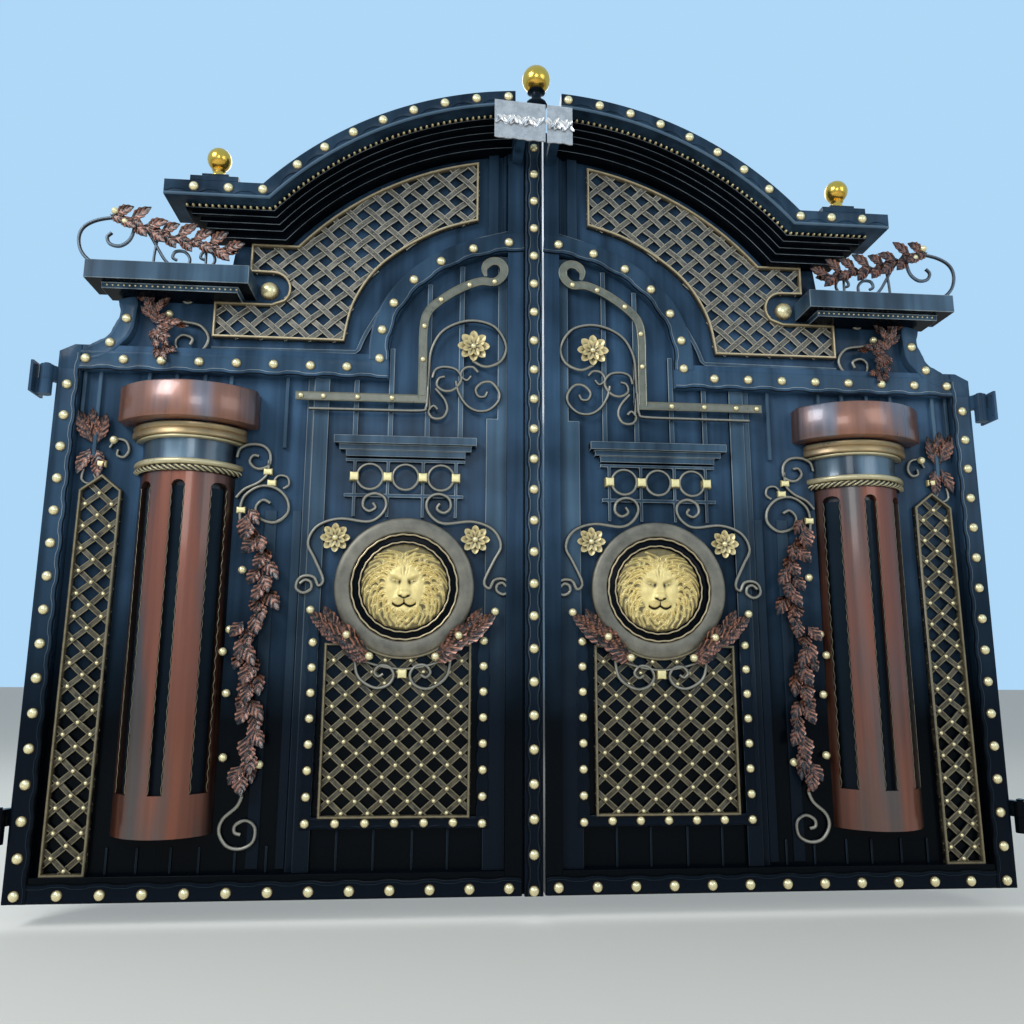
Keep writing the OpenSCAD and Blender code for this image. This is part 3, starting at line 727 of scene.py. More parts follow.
# painted highlight: pale lines along edges and arrises
HIGHLIGHT_PAINT = Paint("highlight_line", "paint", (158, 172, 180), (34, 46, 56))
SLOT_PAINT = Paint("slot_black", "paint", (34, 50, 64), (14, 22, 30))
BRASS = Rubbed("stud_brass", "brass", (244, 230, 180), (140, 108, 52), 0.5, 90, 0.3, (0.2, 0.34), 0.0004)
GOLD = Rubbed("ball_gold", "pale_gold", (226, 180, 78), (120, 82, 28), 0.9, 70, 0.3, (0.12, 0.26), 0.0004)
AGED = Rubbed("woven_gold", "aged_gold", (168, 162, 146), (4, 6, 9), 0.25, 45, 0.9, (0.3, 0.5))
AGED_DARK = Rubbed("aged_dark", "aged_gold", (126, 116, 90), (2, 3, 4), 0.2, 38, 1.2, (0.3, 0.5))
RIM_GOLD = Rubbed("rim_gold", "aged_gold", (190, 172, 136), (30, 28, 24), 0.4, 55, 0.4, (0.26, 0.42))
BAND_GOLD = Rubbed("band_gold", "aged_gold", (140, 140, 124), (46, 48, 44), 0.4, 30, 0.7, (0.26, 0.42))
RING_GOLD = Rubbed("ring_gold", "aged_gold", (138, 133, 118), (44, 42, 38), 0.4, 16, 1.3, (0.34, 0.5))
IRON = Rubbed("rubbed_iron", "paint", (150, 148, 136), (3, 6, 9), 0.25, 80, 0.3, (0.25, 0.45))
DARK_IRON = Rubbed("dark_iron", "paint", (96, 112, 126), (8, 11, 14), 0.2, 80, 0.3, (0.25, 0.45))
LION_GOLD = Rubbed("lion_gold", "pale_gold", (240, 218, 146), (20, 13, 6), 0.2, 70, 0.25, (0.32, 0.5))
PETAL_GOLD = Rubbed("petal_gold", "brass", (232, 214, 160), (18, 14, 8), 0.3, 90, 0.4, (0.3, 0.46))
COLLAR_GOLD = Rubbed("collar_gold", "brass", (240, 226, 168), (120, 98, 48), 0.3, 80, 0.4, (0.3, 0.45))
LEAF_COPPER = Rubbed("leaf_copper", "copper", (198, 134, 108), (4, 2, 2), 0.25, 60, 1.3, (0.22, 0.4))
# bright is painted highlight; dark is the strokes' dark lacquer and painted shade at the sides
COLUMN = Streaked("column_copper", "copper")
DRUM = Streaked("drum_copper", "copper", (152, 104, 84), (30, 20, 22), (124, 122, 132))
# the neck's blue-grey is painted sky reflection on dark paint
NECK = Streaked("neck_blue", "copper", (118, 141, 157), (6, 14, 22), (24, 40, 56))
TORUS = Rubbed("torus_bronze", "copper", (196, 184, 146), (14, 13, 12), 0.4, 30, 0.3, (0.25, 0.4))
COLLAR_BRONZE = Rubbed("collar_bronze", "copper", (168, 144, 104), (58, 54, 60), 0.5, 8, 1.4, (0.25, 0.4))
SILVER = Rubbed("plaque_silver", "silver", (240, 242, 244), (96, 102, 108), 0.4, 30, 0.5, (0.2, 0.36))


# Pieces


@dataclass
class Maker:
    """Turns shells into finished pieces that ride on their bodies.

    drawing: where the drawing lies in the frame.
    names: the pieces made so far.
    """

    drawing: Drawing
    names: list = field(default_factory=list)

    def piece(self, name: str, shells: list, side: Side, finishes: list, nodes: tuple,
              sharp: float = 38.0) -> None:
        """Builds one piece from its shells.

        Args:
            name: the piece's name without the leaf's.
            shells: its closed surfaces.
            side: the leaf.
            finishes: the finishes that the shells name by number.
            nodes: the CAD nodes it stands for, without the leaf's name where they have it.
            sharp: edges that turn by more than this many degrees stay sharp.
        """
        whole = name if nodes[0] in MIDDLE_NODES else side.prefix + name
        points = np.concatenate([self.drawing.placed(s.points, side) for s in shells])
        starts = np.cumsum([0] + [len(s.points) for s in shells])
        faces = [[k + start for k in face] for s, start in zip(shells, starts) for face in s.faces]
        mesh = bpy.data.meshes.new(whole)
        mesh.from_pydata(points.tolist(), [], faces)
        tone = mesh.attributes.new("tone", "FLOAT", "POINT")
        tone.data.foreach_set("value", np.concatenate([s.tone for s in shells]).astype(np.float32))
        index = np.concatenate([np.full(len(s.faces), s.finish) for s in shells])
        mesh.polygons.foreach_set("material_index", index.astype(np.int32))
        with_bmesh(mesh, closed)
        for finish in finishes:
            mesh.materials.append(finish.material())
        self.finish(shown(whole, mesh), side, finishes[0].slot, nodes, sharp)

    def finish(self, obj: bpy.types.Object, side: Side, slot: str, nodes: tuple, sharp: float) -> None:
        """Smooths a piece, and ties it to its body and its nodes."""
        obj.data.shade_smooth()
        obj.data.set_sharp_from_angle(angle=np.radians(sharp))
        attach(obj, side.body)
        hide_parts(*(n if n in MIDDLE_NODES else side.prefix + n for n in nodes))
        self.names.append(obj.name)
        LOG.info("%s: %d faces", obj.name, len(obj.data.polygons))

    def from_node(self, node: str, side: Side, finish: Finish, width: float = 1.4,
                  under: Finish | None = None, edge_highlight: Finish | None = None) -> None:
        """Makes a piece from a copy of a CAD node, with its edges eased.

        Args:
            node: the node's name without the leaf's.
            side: the leaf.
            finish: the piece's finish.
            width: of the eased edges, in millimetres.
            under: finish of painted shade on the faces that look down or, on mouldings, any way but forwards.
            edge_highlight: finish of painted highlight on the eased edges, or None for the same.
        """
        mesh = bpy.data.objects[side.prefix + node].data.copy()
        mesh.materials.clear()
        for wanted in filter(None, (finish, under, edge_highlight)):
            mesh.materials.append(wanted.material())
        with_bmesh(mesh, cleaned)
        index = np.zeros(len(mesh.polygons), np.int32)
        if under:
            normals = np.zeros(3 * len(index), np.float32)
            mesh.polygons.foreach_get("normal", normals)
            # faces painted as shade: downward ones, or on mouldings all but the forward ones
            shaded_faces = normals[1::3] > -0.5 if node == "mouldings" else normals[2::3] < -0.7
            index = shaded_faces.astype(np.int32)
        mesh.polygons.foreach_set("material_index", index)
        obj = shown(side.prefix + node + "_eased", mesh)
        modifier = obj.modifiers.new("edge", "BEVEL")
        modifier.width = width * MM
        modifier.segments = 2
        modifier.limit_method = "ANGLE"
        modifier.angle_limit = np.radians(40)
        # the eased edges take the painted highlight finish, where one is given
        modifier.material = len(mesh.materials) - 1 if edge_highlight else -1
        self.finish(obj, side, finish.slot, (node,), 30.0)


def shown(name: str, data: bpy.types.ID) -> bpy.types.Object:
    """Makes an object of a mesh, lamp or camera and puts it into the scene."""
    obj = bpy.data.objects.new(name, data)
    bpy.context.scene.collection.objects.link(obj)
    return obj


def with_bmesh(mesh: bpy.types.Mesh, edit: Callable) -> None:
    """Runs an edit on a mesh's editable copy."""
    work = bmesh.new()
    work.from_mesh(mesh)
    edit(work)
    work.to_mesh(mesh)
    work.free()


def closed(work: bmesh.types.BMesh) -> None:
    """Merges the doubled points of seams and poles, and turns every face outwards."""
    bmesh.ops.remove_doubles(work, verts=work.verts, dist=SAME_POINT)
    bmesh.ops.recalc_face_normals(work, faces=work.faces)


def cleaned(work: bmesh.types.BMesh) -> None:
    """Merges doubled points, and joins the facets of flat faces."""
    bmesh.ops.remove_doubles(work, verts=work.verts, dist=1e-5)
    bmesh.ops.dissolve_limit(work, angle_limit=np.radians(0.5), verts=work.verts, edges=work.edges)


FLAT = np.array([(-1, -1), (-1, 1), (1, 1), (1, -1)])
ROD = joined(7 * np.cos(wheel(10)), 7.5 * np.sin(wheel(10)))
# a narrow pale stripe near each bar's front: rubbed metal and painted highlight
ROD_TONE = np.clip(2.2 * np.sin(wheel(10) + 0.5) - 1.0, 0, 1)


def rod(points: list, y: float, steps: int = 5, size: float = 1.0) -> Shell:
    """A scroll of rounded bar through drawing points.

    Args:
        points: (u, z) points of the scroll.
        y: depth of the bar's middle.
        steps: points on each stretch.
        size: thickness, as a share of 14 mm.

    Returns:
        The shell.
    """
    return swept(lifted(smooth(points, steps), y), ROD, size=size, tone=ROD_TONE)


def wave_top(s: Array, pitch: float) -> Array:
    """Flat-topped wave of the forged strips: 1 at each stud, 0 half way between two."""
    return np.clip(0.5 + 0.95 * np.cos(2 * np.pi * s / pitch), 0, 1)


@dataclass
class Lattice:
    """A lattice of flat bars that pass over and under each other, with a nail at each crossing.

    outline: of the opening.
    low, high: the opening's lowest and highest u, where the bars' feet are counted from.
    foot: the height of the bars' feet.
    bar: width of the bars.
    pitch: from crossing to crossing, across and up.
    front, back: y of the bars and of the sheet.
    weave: how far the bars swing forwards and back.
    """

    outline: Array
    low: float
    high: float
    foot: float
    bar: float
    pitch: tuple = (95.0, 84.0)
    front: float = 24.0
    back: float = 44.0
    weave: float = 3.0

    def bars(self) -> list:
        """Both families of bars, cut to the opening.

        Along a bar the height is weave * cos(2 pi t), t in pitches from a crossing, and the
        other family takes the opposite sign.
        """
        half = self.bar / 2
        edge = [(-half, -2), (-half, 4.8), (-half + 1.5, 6.4), (-half + 3.5, 6.4), (-half + 4.5, 5.2)]
        section = np.array(edge + [(-a, b) for a, b in edge[::-1]])
        tone = np.array([0.0, 0.1, 1.3, 1.2, 0.3, 0.3, 1.2, 1.3, 0.1, 0.0])
        across, up = self.pitch
        offset = (self.low - self.high) / (2 * across)
        rise = np.ptp(self.outline[:, 1])
        count = int(np.ceil((self.high - self.low + rise * across / up) / across)) + 1
        shells = []
        for sign in (1, -1):
            step = np.array([across, sign * up])
            for i in range(count):
                start = (self.high - i * across) if sign > 0 else (self.low + i * across)
                origin = np.array([start, self.foot])
                for t0, t1 in cut_spans(origin, step, self.outline):
                    if t1 - t0 < 0.08:
                        continue
                    t = np.linspace(t0, t1, max(int((t1 - t0) * 8), 2) + 1)
                    lift = sign * self.weave * np.cos(2 * np.pi * (t - sign * offset))
                    path = lifted(origin + t[:, None] * step, self.front + 9.6 - lift)
                    shells.append(swept(path, section, tone=tone))
        return shells

    def crossings(self, inset: float = 7.0) -> Array:
        """Places of the nails: the crossings that lie well inside the opening."""
        across, up = self.pitch
        i, j = np.meshgrid(np.arange(60), np.arange(60))
        u = (self.high + self.low + (j - i) * across) / 2
        z = self.foot + (self.low - self.high + (i + j) * across) / 2 * up / across
        points = joined(u.ravel(), z.ravel())
        return lifted(points[inside(points, mitred(anticlockwise(self.outline), inset))], self.front + 2)

    def rim(self) -> Shell:
        """The pale bead round the opening, with a dark rebate inside it."""
        y = self.front
        profile = [(-4, self.back), (-4, y - 6), (-1, y - 9), (4, y - 9), (6, y - 5), (6, self.back)]
        return relief(self.outline, profile, [0, 0.3, 0.9, 1, 0.5, 0], 1, ring=True)


@dataclass
class GateSizes:
    """Driving sizes of the drawing, in millimetres.

    half_width: from the meeting line to the hinge edge.
    border: width of the studded border.
    panel_y: how far the sheets lie behind the front.
    fascia: how far the cornice stands out from the front.
    bow_z, bow_r: height of the bow's centre, and its radius.
    eave_z, eave_end: height of the level eave, and u of its end.
    inner_end: u at which the cornice ends beside the meeting line.
    arch_z, arch: height of the border arch's centre, and its two radii.
    medal: (u, z) of the medallion's middle.
    stud_r: radius of the studs.
    stile_studs, rail_studs: z or u of the first stud on the hinge stile or the top rail, and the
        distance from stud to stud.
    """

    half_width: float
    border: float = 80.0
    panel_y: float = 44.0
    fascia: float = 178.0
    bow_z: float = 1648.0
    bow_r: float = 1452.0
    eave_z: float = 2634.0
    eave_end: float = 1435.0
    inner_end: float = 93.0
    arch_z: float = 2048.0
    arch: tuple = (616.0, 487.0)
    medal: tuple = (492.0, 1107.0)
    stud_r: float = 18.5
    stile_studs: tuple = (27.0, 122.3)
    rail_studs: tuple = (740.0, 141.7)

    @property
    def column_u(self) -> float:
        """Middle of the column."""
        return self.half_width - 502

    @property
    def crown(self) -> float:
        """Highest point of the bow."""
        return self.bow_z + self.bow_r

    @property
    def edge(self) -> float:
        """Middle of the border on the hinge stile."""
        return self.half_width - self.border / 2

    @property
    def hinge_in(self) -> float:
        """Inner edge of the hinge stile."""
        return self.half_width - self.border

    @property
    def shoulder(self) -> tuple:
        """Centre of the shoulder's hollow."""
        return (self.half_width - 55, 2168.0)

    def level(self, r: float | Array) -> float | Array:
        """Height of the level eave that carries on the bow's arris of radius r."""
        return self.eave_z - self.bow_r + r


@dataclass
class Ornament:
    """Base of what a leaf is made of: the maker of its pieces and the gate's sizes."""

    maker: Maker
    sizes: GateSizes

    def build(self, side: Side) -> None:
        """Builds the pieces of one leaf."""
        raise NotImplementedError


class Framing(Ornament):
    """Stiles, rails, mouldings and shelf as eased copies, and paint on the sheets and hinges."""

    def build(self, side: Side) -> None:
        """Dresses one leaf and its wall hinges."""
        for node in ("hinge_stile", "meeting_stile", "bottom_rail", "top_rail", "arch_rail"):
            self.maker.from_node(node, side, PAINT)
        # fronts in painted light, faces turned away or down in painted shade, eased edges in painted
        # highlight
        for node, width in (("mouldings", 2.6), ("shelf", 2.5)):
            self.maker.from_node(node, side, LIT_PAINT, width, SHADE_PAINT, HIGHLIGHT_PAINT)
        for node in ("lower_sheet", "upper_sheet", "wall_lower", "wall_upper"):
            data = bpy.data.objects[side.prefix + node].data
            data.materials.clear()
            data.materials.append(PAINT.material())


class Bands(Ornament):
    """The studded border: forged strips with waved edges and chased ridges."""

    def strip(self, path: Array, width: float, pitch: float, shift: float = 0.0, y: float = 4.0,
              edges: tuple = (1, 1), height: float = 4.0) -> Shell:
        """One strip along a path.

        Across the strip, v runs from -1 to 1. Its edge moves in by 5 mm between two studs where
        edges says so, and a ridge runs along it at v = 0.72.

        Args:
            path: centre line (u, z).
            width: of the strip.
            pitch: from stud to stud.
            shift: distance of the first stud from the path's start.
            y: depth of the strip's back.
            edges: which of the two edges are waved, 0 or 1 each.
            height: thickness of the strip.

        Returns:
            The shell.
        """
        line = resampled(path, pitch / 12)
        s = distances(line)[:, None]
        wave = wave_top(s - shift, pitch)
        v = np.array([-1, -0.93, -0.82, -0.72, -0.62, -0.4, 0, 0.4, 0.62, 0.72, 0.82, 0.93, 1])[None, :]
        lean = np.where(v < 0, edges[0], edges[1])
        across = v * width / 2 - np.sign(v) * lean * 5.0 * (1 - wave) * np.abs(v) ** 0.5
        ridge = np.exp(-((np.abs(v) - 0.72) / 0.13) ** 2)
        hammered = 0.5 * np.sin(s / 7.1 + 2 * v) * np.sin(s / 4.3 - 5 * v)
        rise = height - 1.2 + 1.2 * ridge + hammered * (np.abs(v) < 0.9)
        rise = np.where(np.abs(v) > 0.99, height - 2.4, rise)
        loops = np.concatenate([joined(across, rise), joined(across[:, [-1, 0]], 0)], 1)
        return swept(lifted(line, y), loops)

    def lines(self, path: Array, width: float, pitch: float, shift: float, edges: tuple) -> list:
        """A strip with a painted shadow line outside each waved edge and a painted highlight line inside it.

        The highlight line is chased. The arguments are those of strip; the lines follow the same wave.
        """
        line = resampled(path, pitch / 12)
        ahead = units(np.gradient(line, axis=0))
        sideways = joined(ahead[:, 1], -ahead[:, 0])
        wave = wave_top(distances(line) - shift, pitch)
        shells = [self.strip(path, width, pitch, shift, edges=edges)]
        for sign in [sign for sign, waved in zip((-1, 1), edges) if waved]:
            # first a painted shadow line outside the edge, then a painted highlight line inside it
            for out, y, size, tone, finish in (
                    (width / 2 + 0.5 - 5.0 * (1 - wave), 1.6, (2.0, 1.5), 1.0, 1),
                    (width / 2 - 11 - 7.0 * (1 - wave), 0.4, (0.9, 1.4), 0.8, 2)):
                route = lifted(line + sign * out[:, None] * sideways, y)
                shells.append(swept(route, FLAT * size, tone=tone, finish=finish))
        return shells

    def build(self, side: Side) -> None:
        """Builds the strips of one leaf."""
        s = self.sizes
        arch = np.concatenate([[(616, 2003)], arc((0, s.arch_z), s.arch, 0, 86.2, 60)])
        (stile_first, stile_pitch), (rail_first, rail_pitch) = s.stile_studs, s.rail_studs
        shells = []
        for path, width, pitch, shift, edges in (
                ([(46, 33), (s.hinge_in + 2, 33)], 66, 142, 44, (1, 0)),
                ([(s.edge, 0), (s.edge, 1990)], s.border, stile_pitch, stile_first, (1, 0)),
                ([(580, 1964), (s.hinge_in + 2, 1964)], 78, rail_pitch, rail_first - 580, (0, 1)),
                (arch, s.border, 139, 6, (1, 0))):
            shells += self.lines(np.array(path, float), width, pitch, shift, edges)
        corner = np.array([(s.hinge_in, 1925), (s.half_width, 1925), (s.half_width, 1995),
                           (s.shoulder[0], 2023), (s.hinge_in, 2023)])
        shells.append(relief(corner, [(0, 4), (0, 1), (2, 0)]))
        shells.append(self.strip(arc(s.shoulder, (186, 186), 252, 163, 40), 70, 118, 40, y=44, height=44))
        # round the lower lattice
        for path, width, pitch, shift in (([(188, 990), (188, 251)], 46, 94, 46),
                                          ([(825, 251), (825, 990)], 46, 92, 1),
                                          ([(165, 251), (848, 251)], 44, 106, 23)):
            shells.append(self.strip(np.array(path, float), width, pitch, shift, y=24))
        # ribs of the upper sheet, in the lit paint: painted light
        for u, low in ((969, 1640), (1186, 1856), (1287, 1856), (1394, 1856), (1497, 1856), (1679, 1560),
                       (1737, 1700)):
            shells.append(slab((u - 7, u + 7), (low, 1936), 44, 26.5, 1.5, finish=3))
        # stepped moulding between the arch and the opening over it, and strips behind the vine
        ridge = np.concatenate([smooth([(100, 2586), (290, 2522), (470, 2403), (590, 2262), (668, 2130),
                                        (700, 2052)], 8), [(712, 2040), (1272, 2034)]])
        bead = np.array([(-7, -16), (-7, 3), (-5, 5), (5, 5), (7, 3), (7, -16)])
        # the moulding and the strips below wear the lit paint: painted light
        shells.append(swept(lifted(ridge, 30), bead, finish=3))
        # thin painted highlight lines on both sides of the moulding
        for across in (-6.5, 6.5):
            shells.append(swept(lifted(ridge, 26), FLAT + (across, 0), finish=2))
        for u0, u1, front in ((985, 1030, 38), (892, 925, 34)):
            shells.append(slab((u0, u1), (96, 1395), 44, front, finish=3))
        # upright strips beside the meeting stile's head, cut to the arch and the bow
        for u0, u1, front in ((110, 122, 34), (144, 186, 26)):
            foot = [s.arch_z + 527 * np.sqrt(1 - (u / 656) ** 2) - 3 for u in (u0, u1)]
            head = [s.bow_z + np.sqrt((s.bow_r - 150) ** 2 - u ** 2) for u in (u1, u0)]
            shells.append(slab((u0, u1), foot + head, 44, front))
        shells.append(slab((90, 108), (s.crown - 206, s.crown - 140), 46, 20, 0))
        self.maker.piece("forged_bands", shells, side, [BAND_PAINT, SHADE_PAINT, HIGHLIGHT_PAINT, LIT_PAINT],
                         ("border_bands",))


class Studs(Ornament):
    """Brass nail heads on the border, round the lower lattice and on the fascia."""

    def build(self, side: Side) -> None:
        """Builds all studs of one leaf, the drops under its shelf and the gold ball on the eave."""
        s = self.sizes
        arch = np.radians(-4.8 + 14.2 * np.arange(7))
        hollow = np.radians([190, 226])
        bow = np.radians(np.arange(4.9, 42, 5.2))
        r = s.bow_r - 28
        (stile_first, stile_pitch), (rail_first, rail_pitch) = s.stile_studs, s.rail_studs
        big = [joined(s.edge, 0, stile_first + stile_pitch * np.arange(16)),
               joined(90 + (s.edge - 90) * np.arange(12) / 12, 0, stile_first),
               joined(rail_first + rail_pitch * np.arange(8), 0, 1968),
               joined(s.arch[0] * np.cos(arch), 0, s.arch_z + s.arch[1] * np.sin(arch)),
               joined(s.shoulder[0] + 185 * np.cos(hollow), 0, s.shoulder[1] + 185 * np.sin(hollow)),
               joined(r * np.sin(bow), -s.fascia, s.bow_z + r * np.cos(bow)),
               joined(Cornice.eave_studs(s), -s.fascia, s.level(r))]
        small = [joined(825, 20, 251 + 92 * np.arange(8)),
                 joined(188, 20, 247 + 94 * np.arange(8)),
                 joined(188 + 106 * np.arange(1, 6), 20, 251)]
        drops = joined(np.arange(s.half_width - 665, s.half_width - 165, 21), -74, 2238)
        foot = s.eave_z + 36
        steps = np.array([(34, foot), (34, foot + 8), (24, foot + 14), (20, foot + 30), (26, foot + 38)])
        profile = np.concatenate([steps, standing_ball(46, foot + 85, 15)])
        shells = [domes(np.concatenate(big), s.stud_r, 13), domes(np.concatenate(small), s.stud_r - 2.5, 11),
                  domes(drops, 4.5, 5, round_points=8), upright(1250, -120, profile, 24, 1)]
        self.maker.piece("brass_studs", shells, side, [BRASS, GOLD], ("studs",))


class Cornice(Ornament):
    """The bowed eave: a studded fascia, a row of drops, and steps below it in painted shade."""

    @staticmethod
    def eave_studs(sizes: GateSizes) -> Array:
        """u of the three studs on the level eave, from where the bow's line of studs meets it."""
        r = sizes.bow_r - 28
        first = np.sqrt(r ** 2 - (sizes.level(r) - sizes.bow_z) ** 2) + 11
        return first + (sizes.eave_end - 112 - first) / 2 * np.arange(3)

    def line(self, r: float, end: float, depth: float, count: int = 48, wave: float = 0.0) -> Array:
        """One arris of the cornice: level from its end to the mitre, then round the bow.

        Args:
            r: the bow's radius at this arris.
            end: u of its outer end.
            depth: how far it stands out from the front plane.
            count: points on the bow.
            wave: how far it dips under each stud and rises between two.

        Returns:
            Rows (u, y, z).
        """
        s = self.sizes

        def swing(turns: Array) -> Array:
            """The wave at a number of studs along the line."""
            return wave * np.clip(1.4 * np.cos(2 * np.pi * turns), -1, 1)

        mitre = np.arcsin((s.level(r) - s.bow_z) / r)
        a = np.linspace(mitre, np.arccos(s.inner_end / r), count)
        reach = r - swing((90 - np.degrees(a) - 4.9) / 5.2)
        bow = joined(reach * np.cos(a), s.bow_z + reach * np.sin(a))
        u = np.linspace(end, bow[0, 0], count // 3)[:-1]
        studs = self.eave_studs(s)
        eave = joined(u, s.level(r) - swing((u - studs[0]) / (studs[1] - studs[0])))
        return lifted(np.concatenate([eave, bow]), -depth)

    def course(self, arrises: list, end: float, finish: int = 0, count: int = 48) -> Shell:
        """One course of the cornice.

        Args:
            arrises: (drop below the bow's top, depth, wave) of each arris, round the section.
            end: u of its outer end.
            finish: the finish's place in its piece's list.
            count: points on the bow.

        Returns:
            The shell.
        """
        loops = [self.line(self.sizes.bow_r - drop, end, depth, count, *wave)
                 for drop, depth, *wave in arrises]
        return loops_shell(np.stack(loops, 1), 1.0, finish)

    def build(self, side: Side) -> None:
        """Builds the courses, the drops, the waved strip and the stepped block under the ball."""
        s = self.sizes
        back, f = -s.panel_y, s.fascia
        shells = [
            self.course([(0, back), (0, f - 5), (2, f - 4), (62, f - 4), (62, back)], s.eave_end),
            self.course([(1, f - 4), (2.5, f), (43, f, 7), (45.5, f - 1.5, 7), (45.5, f - 4.2, 7)],
                        s.eave_end - 1, 0, 200),
            # the lip under the waved strip in a painted highlight
            self.course([(51, f - 4.2), (52, f - 1), (55, f + 0.5), (59, f + 0.5), (62, f - 2), (63, f - 5)],
                        s.eave_end - 1, 3)]
        for low, high, d, end in ((80, 62, 112, 1369), (96, 80, 92, 1349), (112, 96, 66, 1323),
                                  (130, 112, 46, 1303), (154, 130, 22, 1279)):
            # each step in painted shade
            shells.append(self.course([(high - 1, back), (high - 1, d - 5), (low - 7, d - 4),
                                       (low - 5, d - 1), (low - 3, d), (low - 1, d), (low, d - 2),
                                       (low, back)], end, 2))
            # a thin line of painted highlight on each step's lower arris
            shells.append(self.course([(low - 3.2, d - 0.5), (low - 3.2, d + 0.6), (low - 1.6, d + 0.6),
                                       (low - 1.6, d - 0.5)], end, 4))
        for u, z, front, rear in (((1160, 1340), (-2, 20), -f, -60), ((1200, 1300), (18, 36), 12 - f, -70)):
            shells.append(slab(u, (s.eave_z + z[0], s.eave_z + z[1]), rear, front))
        beads = resampled(self.line(s.bow_r - 71, 1362, 128, 140)[:, [0, 2]], 24)
        shells.append(domes(lifted(beads, -112), 6, 14, finish=1, round_points=8))
        self.maker.piece("bowed_cornice", shells, side,
                         [BAND_PAINT, BRASS, SHADE_PAINT, EDGE_PAINT, HIGHLIGHT_PAINT], ("cornice",))


class Openings(Ornament):
    """The three latticed openings of a leaf."""

    def upper(self) -> Array:
        """Outline of the bowed opening over the arch."""
        s = self.sizes
        return np.concatenate([
            [(1268, 2085), (1268, 2225), (1049, 2225)],
            arc((1049, 2293), (69, 69), 250, 90, 14)[2:],
            [(1137, 2363), (1137, 2478)],
            arc((0, s.bow_z), (s.bow_r - 187, s.bow_r - 187), 41.0, 79.43, 30),
            [(232, 2632)],
            smooth([(240, 2631), (385, 2581), (538, 2488), (650, 2383), (729, 2240), (760, 2085)], 6)])

    def lower(self) -> Array:
        """Outline of the opening under the medallion: a box with the ring's arc cut out of it."""
        u, z = self.sizes.medal
        r = 266.0
        a0 = np.degrees(np.arcsin((890 - z) / r))
        ring = arc((u, z), (r, r), a0, -180 - a0, 30)
        return np.concatenate([[(238, 271), (778, 271), (778, 890)], ring, [(238, 890)]])

    def build(self, side: Side) -> None:
        """Builds the lattices of one leaf, the last one in the tall opening beside the column."""
        e = self.sizes.hinge_in
        tall = np.array([(e - 176, 86), (e - 30, 86), (e - 38, 1455), (e - 113, 1513), (e - 185, 1455)])
        dark = (21.0, 8, [AGED_DARK, AGED_DARK, BRASS])
        for name, outline, low, high, foot, (bar, nail, finishes) in (
                ("upper_lattice", self.upper(), 232, 1268, 2085, (24.0, 3.5, [AGED, RIM_GOLD, AGED])),
                ("lower_lattice", self.lower(), 238, 778, 271, dark),
                ("side_lattice", tall, e - 185, e - 30, 86, dark)):
            lattice = Lattice(anticlockwise(outline), low, high, foot, bar)
            nails = domes(lattice.crossings(), nail, 8, finish=2, round_points=10)
            shells = lattice.bars() + [lattice.rim(), nails]
            self.maker.piece("woven_" + name, shells, side, finishes, (name,))


